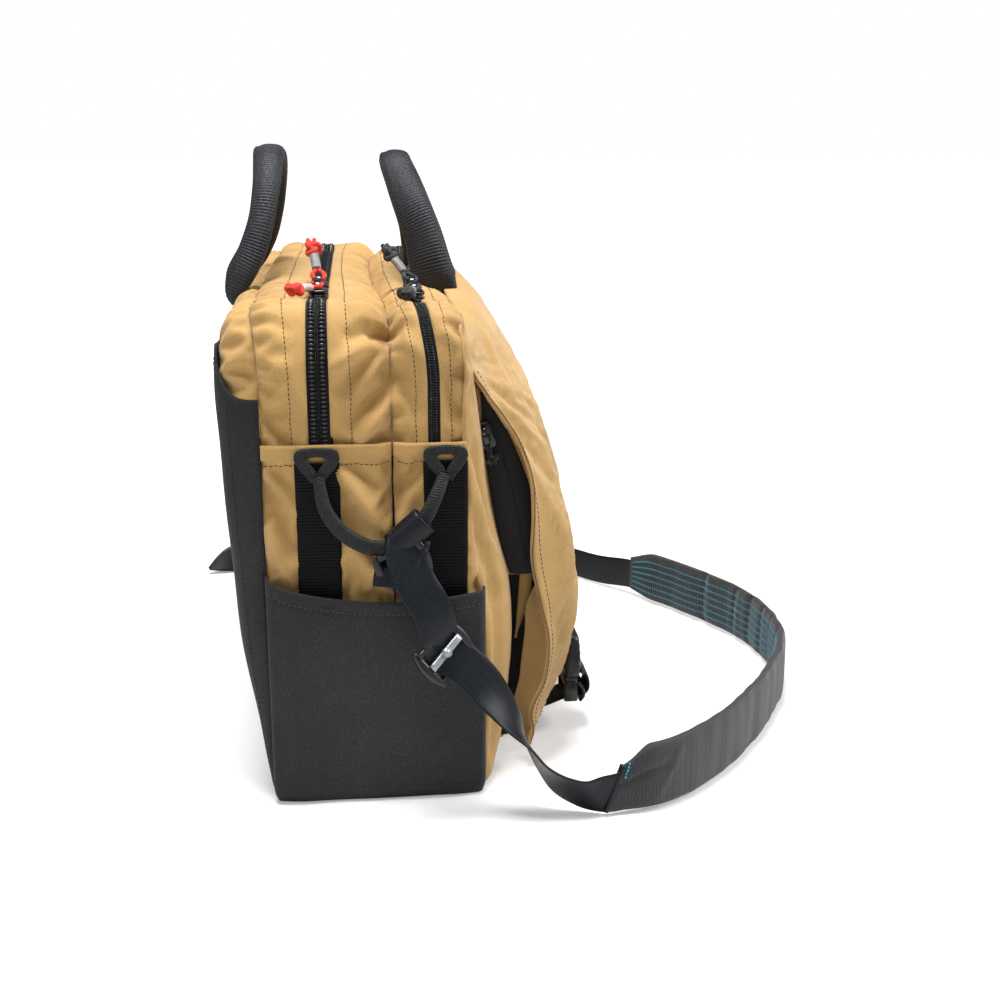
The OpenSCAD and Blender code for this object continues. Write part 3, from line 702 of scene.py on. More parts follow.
# Named lines across the body: distance behind the origin at the hem, and on the top
LINES = {
    "rear": (65.0, 70.0),
    "stitch_1": (47.7, 51.4),
    "main_back": (37.8, MAIN_ZIP + 5.8),
    "main_front": (25.2, MAIN_ZIP - 5.8),
    "stitch_2": (13.1, 15.5),
    "valley": (VALLEY, VALLEY),
    "stitch_3": (-24.0, -16.6),
    "front_back": (-30.8, FRONT_ZIP + 3.4),
    "front_front": (-38.0, FRONT_ZIP - 3.4),
    "stitch_4": (-44.6, -38.5),
    "front": (-53.5, -53.0),
}
END_SINK = [(66, 3.0), (62, 1.2), (48, 0.2), (31, 0.0), (13, 0.5), (3, 1.6), (-4, 3.4), (-10, 6.5),
            (-15, 3.0),
            (-22, 0.9), (-34, 0.2), (-45, 0.7), (-50, 1.6), (-54, 4.2)]
TOP_SINK = [(72, 7.5), (67, 3.4), (58, 1.0), (50, 0.1), (31, 0.0), (16, 0.8), (5, 3.0), (-3, 7.0),
            (-10, 12.5),
            (-14, 8.5), (-19, 3.4), (-27, 2.0), (-36, 2.2), (-44, 5.0), (-53, 12.5)]


def line_y(name, s):
    low, high = LINES[name]
    x = arch(s, 0)[0]
    drift = {"valley": 8.0, "stitch_2": 3.0, "stitch_3": 5.0}.get(name, 0.0)
    return low + (high - low) * top_share(s) + drift * ramp(x, -170, 40) * (1 - ramp(x, 150, 205))


def sink(y, s):
    w = top_share(s)
    corner = 4 * w * (1 - w)
    t = np.minimum(s, ARCH - s)
    lip = 3.4 * bump(t, LEG + 0.62 * BEND, 13) - 2.6 * bump(t, LEG + BEND + 30, 20)
    sag = 3.5 * (1 - ramp(y, -22, -6)) * ramp(t, LEG + BEND + 30, LEG + BEND + 130)
    drift = line_y("valley", s) - VALLEY
    across = np.where(y > VALLEY, VALLEY + (y - VALLEY - drift) * 76 / (76 - drift),
                      y - drift * ramp(y, -45, VALLEY))
    plain = (1 - w) * curve(across, END_SINK) + w * curve(across, TOP_SINK)
    return plain + 5.5 * corner * bump(across, VALLEY, 8) - lip + sag


def gusset_strip(back, front, stops=(), cell=1.7):
    """Designed surface between two named lines, with grid columns on the lines between them."""
    s = np.linspace(0, ARCH, int(ARCH / cell))
    names = [back, *stops, front]
    columns, share = [], []
    for first, second in zip(names, names[1:]):
        count = max(3, round(abs(LINES[first][0] - LINES[second][0]) / cell))
        steps = np.linspace(0, 1, count, endpoint=second == front)
        columns += [(1 - t) * line_y(first, s) + t * line_y(second, s) for t in steps]
        share.append(len(columns))
    y = np.stack(columns, axis=1)
    run = np.broadcast_to(s[:, None], y.shape)
    return y, run, dict(zip(stops, share[:-1]))


def on_arch(y, run, extra=0.0):
    x, z, nx, nz = arch(run, sink(y, run) - extra)
    return np.stack([x, y, z], axis=-1), np.stack([nx, 0 * nx, nz], axis=-1)


def near_folds(y, run):
    """Folds that the cloth keeps at both upper corners."""
    t = np.minimum(run, ARCH - run)
    rows = (((-8, 76), (16, 42), 6, -4.4), ((-2, 66), (22, 54), 5, 3.0), ((-9, 46), (11, 20), 5.5, -3.8),
            ((-8, 32), (8, 10), 4, 2.6), ((60, 28), (50, 6), 4.5, -2.6), ((61, 64), (52, 36), 5, 1.8),
            ((-12, 50), (-24, 28), 5, -3.0), ((-50, 18), (-42, 44), 4, -2.0), ((-51, 60), (-40, 76), 5, 2.4),
            ((40, 30), (56, 74), 5, 1.6), ((8, 4), (30, 12), 4, -1.6), ((-12, 84), (12, 72), 5, -2.6),
            ((-12, 96), (14, 92), 4.5, 1.8), ((-13, 74), (-26, 60), 5, 2.2))
    shape = sum(fold(y, t, *row) for row in rows)
    return shape * (1 - ramp(t, 92, 108))


def seam_share(y, run, back, front):
    """0 at the back line of a strip, 1 at its front line."""
    first, last = line_y(back, run), line_y(front, run)
    return (first - y) / (first - last)


def make_gusset(name, node, back, front, stops, seam_at_back, seam_at_front, seed):
    """One strip of the body: gathered where it meets a seam, folded and stitched where it meets a zipper."""
    y, run, stop_columns = gusset_strip(back, front, stops)
    share = seam_share(y, run, back, front)
    w = top_share(run)
    pleats = 0
    for side, at_seam in ((share, seam_at_back), (1 - share, seam_at_front)):
        if at_seam:
            away = side * np.abs(line_y(back, run) - line_y(front, run))
            pleats = pleats + puckers(run, away, 15, 16, seed + 60) * (0.3 + 1.5 * w)
    grid, up = on_arch(y, run, 1.6 * near_folds(y, run) + pleats)
    hold = np.zeros(y.shape)
    hold[:, 0] = hold[:, -1] = 1
    hold[0] = hold[-1] = 1
    gather = 0.02 + 0 * y
    zipper_side = np.zeros(y.shape)
    if seam_at_back:
        gather = gather + (0.05 + 0.05 * w) * (1 - ramp(share, 0.0, 0.8))
    else:
        zipper_side = np.maximum(zipper_side, 1 - ramp(share, 0.25, 0.5))
    if seam_at_front:
        gather = gather + (0.06 + 0.05 * w) * ramp(share, 0.25, 1.0)
    else:
        zipper_side = np.maximum(zipper_side, ramp(share, 0.5, 0.75))
    hold = np.maximum(hold, 0.82 * zipper_side)
    for column in stop_columns.values():
        hold[:, column] = np.maximum(hold[:, column], 0.7)
    cloth = settle(grid, gather, 0.012, hold, up, reach=3.6, rounds=190, start=0.7, seed=seed)
    n = normals(cloth, up)
    press = np.zeros(y.shape)
    for column in stop_columns.values():
        press = press - 0.55 * np.exp(-((np.arange(y.shape[1]) - column) / 0.8) ** 2)
    cloth = cloth + n * press[..., None]
    for column in stop_columns.values():
        stitches(cloth[3:-3, column], n[3:-3, column])
    if not seam_at_front:
        cloth[:, -1] -= up[:, -1] * 0.5
    if not seam_at_back:
        cloth[:, 0] -= up[:, 0] * 0.5
    fit(sheet(name, cloth, tan_cloth, up, 1.3), "bag", "tan_canvas", node)


# node, its back and front lines, its stitch line, whether its back is the sewn seam, and the seed
GUSSETS = (("main_gusset_rear", "rear", "main_back", "stitch_1", True, 3),
           ("main_gusset_front", "main_front", "valley", "stitch_2", False, 5),
           ("front_gusset_rear", "valley", "front_back", "stitch_3", True, 8),
           ("front_gusset_front", "front_front", "front", "stitch_4", False, 13))
for node, back, front, stop, seam_at_back, seed in GUSSETS:
    make_gusset(f"{node}_cloth", node, back, front, (stop,), seam_at_back, not seam_at_back, seed)


def make_zipper(name, node, back, front, heavy):
    """Tape and coil of an arched zipper, just under the edges of the cloth."""
    s = np.linspace(0, ARCH, int(ARCH / 2.4))
    share = np.linspace(-0.12, 1.12, 9)
    y = line_y(back, s)[:, None] * (1 - share) + line_y(front, s)[:, None] * share
    run = np.broadcast_to(s[:, None], y.shape)
    below = 1.5 + 0.4 * np.abs(share - 0.5)
    x, z, nx, nz = arch(run, sink(y, run) + below)
    grid, up = np.stack([x, y, z], axis=-1), np.stack([nx, 0 * nx, nz], axis=-1)
    strip = sheet(name, grid, tape, up, 0.7)
    mid = grid[:, 4] + 0.25 * up[:, 4]
    lift = up[:, 4]
    across = unit(grid[:, -1] - grid[:, 0])
    parts = []
    if heavy:
        for side in (-1, 1):
            at, ahead, n = along_line(mid + side * 3.1 * across, lift, 2.5)
            parts.append(copies(pill((1.9, 3.7, 2.3), 10, 5, 0.85), at + 0.45 * n, ahead, n))
            at, ahead, n = along_line(mid + side * 5.3 * across, lift, 1.25)
            parts.append(copies(pill((0.75, 0.6, 0.6)), at + 0.1 * n, ahead, n))
            at, ahead, n = along_line(mid + side * 0.65 * across, lift, 1.25, 0.31 * (1 + side))
            parts.append(copies(pill((0.95, 1.1, 1.4)), at + 0.7 * n, ahead, n))
    else:
        for side in (-1, 1):
            at, ahead, n = along_line(mid + side * 1.5 * across, lift, 1.56)
            parts.append(copies(pill((0.95, 2.0, 1.0), 6, 3, 0.9), at + 0.2 * n, ahead, n))
        at, ahead, n = along_line(mid, lift, 1.56)
        parts.append(copies(pill((0.8, 0.85, 1.0)), at + 0.5 * n, ahead, n))
    fit(strip, "bag", "zipper_coil", node)
    fit(many(name.replace("tape", "coil"), parts, coil), "bag", "zipper_coil")


make_zipper("main_zipper_tape", "main_zipper", "main_back", "main_front", True)
make_zipper("front_zipper_tape", "front_zipper", "front_back", "front_front", False)


# ---- body: ends, pockets, back and base ----

REAR_LINE = [(0, 66), (30, 71), (140, 84), (200, 88), (262, 89.5), (280, 88.5)]
FRONT_EDGE = [(0, -63), (100, -63), (130, -61), (173, -56.5), (225, -53), (263, -55), (285, -53)]
WALL_LINE = [(0, -70), (23, -75.5), (60, -80.5), (105, -82.5), (131, -80), (152, -74.5), (174, -69.5),
             (223, -63.6), (263, -58), (285, -54)]
BAND = 10                                # height of the turned band over the end panels
END_TOP = HEM + BAND - 1


def grid_of(a, b):
    return np.meshgrid(np.asarray(a, float), np.asarray(b, float), indexing="ij")


def strip_mask(y, width=WEB * 0.55):
    return sum(bump(y, at, width) for at in STRIPS).clip(0, 1)


def end_panel(side, label, rear):
    """One half of an end panel, from the ground to its turned band."""
    z, t = grid_of(np.arange(3, END_TOP + 0.1, 2), np.linspace(0, 1, 40 if rear else 24))
    if rear:
        first, last = 65.4 + 0 * z, VALLEY + 0.6 + 0 * z
    else:
        first, last = VALLEY - 0.6 + 0 * z, curve(z, FRONT_EDGE)
    y = first * (1 - t) + last * t
    valley_side = t if rear else 1 - t
    outer_side = 1 - valley_side
    width = np.abs(last - first)
    soft = ramp(z, 120, 212)
    out = 0.9 - (1.6 + 4.4 * soft) * bump((1 - valley_side) * width, 0, 5)
    out = out - 3.2 * bump((1 - outer_side) * width, 0, 4)
    open_cloth = 1 - 0.8 * strip_mask(y, 14)
    rows = (((16, 200), (-6, 160), 7, 3.2), ((14, 178), (-4, 144), 6, -3.0), ((14, 152), (-8, 134), 6, 2.6),
            ((62, 194), (50, 158), 5, -2.6), ((64, 170), (50, 140), 5, 2.2), ((58, 206), (48, 196), 4, -1.8),
            ((-12, 192), (-26, 206), 5, -2.8), ((-13, 174), (-25, 150), 5, 2.4),
            ((-12, 156), (-24, 138), 5, -2.2),
            ((14, 208), (0, 196), 4, -2.4))
    out = out + 1.8 * open_cloth * sum(fold(y, z, *row) for row in rows)
    band = ramp(z, HEM - 1.4, HEM + 0.2)
    out = out * (1 - 0.45 * band) + 1.5 * band - 0.5 * bump(z, HEM - 1.2, 1.1)
    grid = np.stack([side * (HALF + out), y, z], axis=-1)
    up = np.zeros_like(grid)
    up[..., 0] = side
    hold = np.maximum(strip_mask(y, 12) ** 2, 0.95 * band)
    hold = np.maximum(hold, 1 - ramp(z, 4, 10))
    hold[:, 0] = hold[:, -1] = hold[-1] = 1
    cloth = settle(grid, 0.03, 0.05, hold, up, reach=3.4, rounds=160, start=0.5, seed=21 + rear)
    row = int((HEM - 1 - 3) / 2)
    stitches(cloth[row, 1:-1], up[row, 1:-1])
    return fit(sheet(f"{label}_end_{'rear' if rear else 'front'}_cloth", cloth, tan_cloth, up, 1.4),
               "bag", "tan_canvas", *([f"{label}_end_panel"] if rear else []))


def pocket_top(y):
    return curve(y, [(66, 143), (60, 139.5), (46, 135), (20, 130), (-7, 128), (-40, 129.5), (-61, 132)])


def end_pocket(side, label):
    """Charcoal pouch over the foot of an end: a wrapped sheet with a hemmed mouth."""
    out = span(f"{label}_end_pocket")[1][0] if side > 0 else -span(f"{label}_end_pocket")[0][0]
    outline = path([[HALF - 1.5, 65.6, 0], [HALF + 3, 66, 0], [out - 1.2, 64.6, 0], [out, 60, 0],
                    [out + 1.2, 30, 0],
                    [out + 1.5, 0, 0], [out + 1, -30, 0], [out, -56, 0], [out - 1.2, -61.4, 0],
                    [HALF + 3, -63.4, 0], [HALF - 1.5, -63.6, 0]], 2.0)
    t, k = grid_of(np.linspace(0, 1, 66), np.arange(len(outline)))
    k = k.astype(int)
    x, y = outline[k, 0], outline[k, 1]
    top = pocket_top(np.clip(y, -61, 66))
    z = 0.4 + t * (top - 0.4)
    wave = ripple(y, z, 9, 150, 45, 31) * 1.6
    x = x + wave * ramp(x, HALF, out) * ramp(z, 0, 14) - 3.0 * (1 - ramp(z, -2, 9)) * ramp(x, HALF, out)
    x = x + 1.8 * ramp(z, top - 26, top) * bump(y, 0, 26) - 0.8 * bump(z, top - 8, 1.2) * ramp(x, HALF, out)
    x = x + fold(y, z, (64, 60), (58, 34), 6, -1.8)
    y = y * (1 - 0.045 * (1 - ramp(z, -4, 12)) ** 2)
    x = x + fold(y, z, (-52, 70), (-30, 14), 8, 1.6) + fold(y, z, (50, 40), (20, 10), 9, -1.4)
    grid = np.stack([side * x, y, z], axis=-1)
    up = np.stack([side * ramp(x, HALF, HALF + 6), 0.3 * np.sign(y) + 0 * x, 0 * x], axis=-1)
    n = normals(grid, up)
    hem = int(len(grid) * (1 - 8 / 130))
    face = (outline[:, 0] > HALF + 4)
    stitches(grid[hem, face], n[hem, face], thread="grey", pitch=3.2, long=2.4)
    at = np.array([[i for i in range(len(outline)) if abs(outline[i, 1] - s) < 5.5 and face[i]]
                   for s in (31, -42)], dtype=object)
    for columns in at:
        line = grid[hem + 1, columns]
        stitches(line, n[hem + 1, columns], thread="black", pitch=1.2, long=2.2, wide=1.5)
    fit(sheet(f"{label}_end_pocket_cloth", grid, charcoal, up, 1.6), "bag", "charcoal_laminate",
        f"{label}_end_pocket")


def half_width(z):
    """Half length of the arch at a height."""
    return HALF - CORNER + np.sqrt(np.maximum(CORNER ** 2 - np.maximum(0, z - (TOP - CORNER)) ** 2, 0))


def back_sleeve():
    """Charcoal sleeve that wraps the padded back, open at its hem."""
    round_ = 16
    turn = np.linspace(0, math.pi / 2, 14)
    flat = np.linspace(0, 1, 100)[1:-1]
    share = np.concatenate([turn / (math.pi / 2), 1 + flat, 2 + (turn / (math.pi / 2))])
    t, s = grid_of(np.linspace(0, 1, 110), share)
    hem = curve(np.minimum(s, 3 - s), [(0, 247), (0.4, 251), (0.8, 268), (1.0, 277), (1.06, 275), (1.5, 272)])
    z = 1.0 + t * (hem - 1.0)
    angle = np.where(s < 1, s, np.where(s > 2, 3 - s, 1)) * math.pi / 2
    edge = half_width(z) - 0.6
    corner_x = edge - round_ * (1 - np.cos(angle))
    middle_x = (s - 1.5) * 2 * (edge - round_)
    x = np.where(s < 1, -corner_x, np.where(s > 2, corner_x, middle_x))
    depth = curve(z, REAR_LINE) - SEAM + 1.6
    y = SEAM - 0.6 + depth * np.sin(angle) ** 0.85
    wave = ripple(x, z, 10, 240, 60, 41) * 1.3 * ramp(z, 0, 60)
    wave = wave * (1 - 0.6 * ramp(z, 230, 265)) * ramp(angle, 0.3, 1.5)
    y = y + wave
    x = x + np.sign(x) * 0.6 * ripple(y * 3, z, 6, 120, 40, 42) * np.sin(2 * angle)
    near_bottom = 1 - ramp(z, -2, 8)
    y, x = y - 2.5 * near_bottom * np.sin(angle), x * (1 - 0.006 * near_bottom)
    grid = np.stack([x, y, z], axis=-1)
    up = np.stack([np.sign(x) * np.cos(angle), np.sin(angle), 0 * x], axis=-1)
    n = normals(grid, up)
    row = int(len(grid) * (1 - 8 / 270))
    stitches(grid[row, 1:-1], n[row, 1:-1], thread="black", pitch=3.2)
    for column in (6, len(share) - 7):
        stitches(grid[10:row, column], n[10:row, column], thread="black", pitch=3.2)
    fit(sheet("back_sleeve_cloth", grid, charcoal, up, 1.5), "bag", "charcoal_laminate", "back_sleeve")


def back_top():
    """Tan back panel above the sleeve, pleated where it joins the rear seam."""
    leg = TOP - CORNER - 225
    total = 2 * (leg + BEND) + 2 * (HALF - CORNER)
    s, t = grid_of(np.linspace(0, total, int(total / 1.8)), np.linspace(0, 1, 34))
    w = top_share(s, leg)
    seam = LINES["rear"][0] * (1 - w) + LINES["rear"][1] * w
    bend = np.clip(t / 0.7, 0, 1) * math.pi / 2
    drop = curve(seam, TOP_SINK) * w + curve(seam, END_SINK) * (1 - w)
    deep = drop + 20 * (1 - np.cos(bend)) ** 1.15 + 26 * np.clip((t - 0.7) / 0.3, 0, 1)
    y = seam + (BACK + 0.6 - seam) * np.sin(bend) ** 0.85
    deep = deep - 1.5 * puckers(s, 30 * t, 16, 15, 52) * ramp(t, 0.02, 0.12)
    x, z, nx, nz = arch(s, deep, leg)
    grid = np.stack([x, y, z], axis=-1)
    up = np.stack([nx, 0.7 + 0 * nx, nz], axis=-1)
    hold = np.zeros(s.shape)
    hold[:, 0] = hold[:, -1] = hold[0] = hold[-1] = 1
    hold = np.maximum(hold, ramp(t, 0.75, 0.95))
    gather = 0.01 + 0.085 * (1 - ramp(t, 0.05, 0.8))
    cloth = settle(grid, gather, 0.01, hold, up, reach=3.2, rounds=170, start=0.7, seed=51)
    cloth[..., 1] -= 5.5 * ramp(t, 0.6, 0.8)
    fit(sheet("back_panel_cloth", cloth, tan_cloth, up, 1.4), "bag", "tan_canvas", "back_panel")


def base():
    """Base panel: a thin slab with rounded edges."""
    low, high = span("base_panel")
    corner = 7
    turn = np.linspace(0, math.pi / 2, 7)
    outline = []
    for quarter in range(4):
        cx = (high[0] - corner) * (1 if quarter in (0, 3) else -1)
        cy = (high[1] if quarter in (0, 1) else low[1]) + corner * (-1 if quarter in (0, 1) else 1)
        for a in turn + quarter * math.pi / 2:
            outline.append([cx + corner * math.cos(a), cy + corner * math.sin(a)])
    outline = np.array(outline)
    centre = (low + high)[:2] / 2
    levels = ((3.4, 1.4), (2.4, 0.3), (1.2, 0.4), (0.4, 1.6), (0.0, 4.0))
    grid = []
    for z, inset in levels:
        shrink = 1 - inset / np.array([high[0], (high[1] - low[1]) / 2])
        grid.append(np.column_stack([centre + (outline - centre) * shrink, np.full(len(outline), z)]))
    fit(rings("base_panel_cloth", np.array(grid), charcoal), "bag", "charcoal_laminate", "base_panel")


def divider():
    """Lining wall between the two compartments, hung a little inside the shell."""
    low, high = span("divider_wall")
    x, z = grid_of(np.linspace(-HALF + 16, HALF - 16, 90), np.linspace(8, TOP - 24, 60))
    y = (low[1] + high[1]) / 2 + 1.6 * ripple(x, z, 8, 160, 50, 61)
    grid = np.stack([x, y, z], axis=-1)
    fit(sheet("divider_cloth", grid, lining, np.array([0, 1.0, 0]), 1.0), "bag", "lining", "divider_wall")


def front_wall():
    """Front of the body under the flap; it swells out from both end panels."""
    z, s = grid_of(np.linspace(2, 287, 120), np.linspace(-1, 1, 160))
    edge = half_width(z) - 0.8
    x = np.sign(s) * np.abs(s) ** 0.8 * edge
    inward = np.clip((edge - np.abs(x)) / 30, 0, 1)
    start, wall = curve(z, FRONT_EDGE), curve(z, WALL_LINE)
    y = start + (wall - start) * np.sin(inward * math.pi / 2) ** 0.8
    y = y + 2.0 * (1 - inward) ** 3
    grid = np.stack([x, y, z], axis=-1)
    up = np.stack([0.3 * s, -1 + 0 * s, 0 * s], axis=-1)
    away = edge - np.abs(x)
    shape = fold(away, z, (3, 206), (12, 150), 3.5, 1.4) + fold(away, z, (8, 214), (15, 160), 3.5, -1.8)
    shape = shape + fold(away, z, (2, 180), (9, 120), 3, -1.4) + fold(away, z, (7, 130), (8, 20), 3.5, -1.3)
    shape = shape + fold(away, z, (3, 110), (2.5, 14), 2.5, 0.8)
    grid = grid + up * 2.0 * shape[..., None]
    hold = np.zeros(s.shape)
    hold[:, 0] = hold[:, -1] = hold[0] = hold[-1] = 1
    hold = np.maximum(hold, (np.abs(x) < 160) * 0.9)
    hold = np.maximum(hold, 0.8 * ramp(away, 9, 18))
    cloth = settle(grid, 0.02, 0.03, hold, up, reach=2.0, rounds=130, start=0.4, seed=71)
    fit(sheet("front_wall_cloth", cloth, tan_cloth, up, 1.4), "bag", "tan_canvas", "front_wall")


for side, label in ((-1, "left"), (1, "right")):
    end_panel(side, label, True)
    end_panel(side, label, False)
    end_pocket(side, label)
back_sleeve()
back_top()
base()
divider()
front_wall()

side_low, side_high = span("side_webbing")
strips = []
for side in (-1, 1):
    for y in STRIPS:
        x = side * (HALF + 2.0)
        keys = [[x, y, side_high[2] - 1.5, 0, 1, 0, WEB + 0.6, 1.5], [x, y, 160, 0, 1, 0, WEB, 1.5],
                [x + side * 0.4, y + 0.6, 120, 0, 1, 0, WEB, 1.5], [x, y, side_low[2], 0, 1, 0, WEB, 1.5]]
        strips.append(ring_parts(webbing_grid(keys, 0.4, 2.0, 0.42, 10, 9)))
fit(many("side_webbing_strips", strips, black_web), "bag", "black_webbing", "side_webbing")


# ---- handles ----

def handle(label, keys):
    """Tubular webbing grip, pinched flat at its feet; keys run from the left foot to the middle."""
    half = np.array(keys, float)
    other = half[-2::-1].copy()
    other[:, 0] *= -1
    other[:, 3] *= -1
    rows = np.concatenate([half, other])
    grid = webbing_grid(rows, 0.42, 2.1, 0.42, 2.7, 12)
    shape = section(12, 1, 1, 2.7)
    middle_line = grid.mean(axis=1, keepdims=True)
    groove = 1 - 0.2 * np.exp(-((shape[:, 0] - 0.28) / 0.06) ** 2) * (shape[:, 1] > 0)
    grid = middle_line + (grid - middle_line) * groove[None, :, None]
    run = run_length(middle_line[:, 0])
    ends = 1 - np.exp(-np.minimum(run, run[-1] - run) / 6)
    grid = middle_line + (grid - middle_line) * (0.35 + 0.65 * ends)[:, None, None]
    fit(rings(f"{label}_webbing", grid, handle_web), label, "black_webbing", label)


handle("rear_handle", [
    [-75, 83.5, 279, 0.5, 0.8, 0, 5, 4], [-75, 87.6, 290, 0.4, 0.9, 0, 12, 7],
                       [-74.3, 84, 301, 0.3, 0.95, 0, 18.5, 9],
    [-70.5, 75, 318, 0.2, 1, 0, 18.5, 10], [-64.5, 69, 336, 0.12, 1, 0, 17.2, 10.5],
    [-52, 65.6, 356, 0.05, 1, 0, 18, 11], [-28, 64.6, 373, 0, 1, 0, 20.5, 12],
                       [0, 65.5, 378.5, 0, 1, 0, 21, 12]])
handle("front_handle", [
    [-75, -54, 277, 0.5, 0.8, 0, 6, 4], [-75, -49, 287, 0.5, 0.85, 0, 25, 10],
    [-74.5, -42.8, 298, 0.5, 0.85, 0, 34, 13], [-72.5, -40.4, 309, 0.5, 0.85, 0, 30, 13],
    [-67, -37.2, 325, 0.45, 0.9, 0, 26, 13],
    [-56, -30.6, 345, 0.35, 0.93, 0, 24, 13], [-45, -26.5, 357, 0.2, 1, 0, 23, 13],
    [-24, -21.6, 370, 0.08, 1, 0, 21.5, 13], [0, -20.6, 374, 0, 1, 0, 21, 13]])


# ---- front pocket ----

POCKET_LINE = [(9, -82), (14, -88), (60, -102), (100, -107), (130, -108), (165, -102.5), (202, -91),
               (225, -79.5),
               (243, -70), (250, -62)]
POCKET_LOW = 128                         # below this the pocket stands back from its zipper


def front_pocket():
    """Pocket on the front wall: a wrapped sheet with rounded corners and deep ends."""
    turn = np.linspace(0, 1, 9)
    leg = np.linspace(0, 1, 10)
    share = np.concatenate([leg[:-1], 1 + turn, 2 + np.linspace(0, 1, 130)[1:-1], 3 + turn, 4 + leg[1:]])
    t, s = grid_of(np.linspace(0, 1, 120), share)
    z = 9 + t * 240
    wall, front = curve(z, WALL_LINE) + 1.5, curve(z, POCKET_LINE)
    mirrored = np.where(s > 2.5, 5 - s, s)
    out = np.clip(mirrored, 0, 1)
    bend = np.clip(mirrored - 1, 0, 1) * math.pi / 2
    deep = np.maximum(wall - front, 1)
    corner = np.minimum(9, deep)
    end = POCKET_END - 1 - 15 * (1 - ramp(z, POCKET_LOW - 8, POCKET_LOW + 2))
    y = wall - out * (deep - corner) - corner * np.sin(bend)
    across = np.clip(s - 2, 0, 1) * 2 - 1
    x = np.where((s > 2) & (s < 3), across * (end - corner),
                 np.sign(s - 2.5) * (end - corner * (1 - np.cos(bend))))
    y = y + 1.5 * ripple(x, z, 9, 160, 40, 81) * np.sin(bend)
    grid = np.stack([x, y, z], axis=-1)
    up = np.stack([np.sign(x) * np.cos(bend), -np.sin(bend), 0 * x], axis=-1)
    fit(sheet("front_pocket_cloth", grid, tan_cloth, up, 1.4), "bag", "tan_canvas", "front_pocket")


def pocket_zipper():
    """Broad black tape down the near end of the pocket, with a fine coil along its middle."""
    z, t = grid_of(np.linspace(POCKET_LOW, 243, 60), np.linspace(0, 1, 14))
    left = curve(z, [(128, -82), (151, -75.5), (177, -70.6), (208, -66.6), (243, -64)])
    right = curve(z, [(128, -104), (164, -99.5), (202, -88), (243, -69)])
    y = left * (1 - t) + right * t
    x = -(POCKET_END + 0.4 + 1.3 * np.sin(math.pi * t)) + 0 * z
    grid = np.stack([x, y, z], axis=-1)
    up = np.array([-1.0, 0, 0])
    fit(sheet("pocket_zipper_tape", grid, tape, up, 0.8), "bag", "zipper_coil", "pocket_zipper")
    at, ahead, lift = along_line(grid[4:-8, 7], np.broadcast_to(up, (48, 3)), 1.5)
    teeth = many("pocket_zipper_coil", [copies(pill((0.8, 1.5, 1.0)), at + 0.3 * lift, ahead, lift)], coil)
    fit(teeth, "bag", "zipper_coil")
    for column, shift in ((0, -2.2), (-1, 1.6)):
        edge = grid[:, column] + np.array([0.6, 0, 0])
        edge[:, 1] += -shift * (1 if column == 0 else 0)
        strip = [[*p, 0, 1, 0, 2.6, 1.2] for p in edge[::6]]
        fit(rings(f"pocket_zipper_edge_{'back' if column == 0 else 'front'}", webbing_grid(strip, 3),
                  tan_cloth),
            "bag", "tan_canvas")
        stitches(edge + np.array([-0.9, 0, 0]), np.broadcast_to(up, edge.shape))


def pocket_shade_sheet():
    """Black sheet at the pocket's end, set back under the zipper: painted shade for the deep gap between the
    pocket and the flap.
    """
    z, t = grid_of(np.linspace(14, POCKET_LOW + 6, 40), np.linspace(0, 1, 12))
    y = curve(z, WALL_LINE) * (1 - t) + (curve(z, POCKET_LINE) + 2) * t
    x = -(POCKET_END - 14) - 3 * np.sin(math.pi * t) + 0 * z
    grid = np.stack([x, y, z], axis=-1)
    # Painted shade: dark zipper-tape cloth laid over the recessed end, where there is only shadow.
    fit(sheet("pocket_shade_sheet", grid, tape, np.array([-1.0, 0, 0]), 0.8), "bag", "zipper_coil")


def pocket_corner():
    """Turned corner of tan cloth just under the end of the pocket's zipper."""
    z, t = grid_of(np.linspace(82, POCKET_LOW - 2, 24), np.linspace(0, 1, 9))
    back, front = curve(z, [(82, -86.4), (126, -89.5)]), curve(z, [(82, -87.2), (114, -97), (126, -98)])
    y = back * (1 - t) + front * t
    x = -(POCKET_END - 9) - 1.5 * np.sin(math.pi * t) + 0 * z
    grid = np.stack([x, y, z], axis=-1)
    fit(sheet("pocket_corner_cloth", grid, tan_cloth, np.array([-1.0, 0, 0]), 1.2), "bag", "tan_canvas")


front_pocket()
pocket_zipper()
pocket_shade_sheet()
pocket_corner()


# ---- flap ----

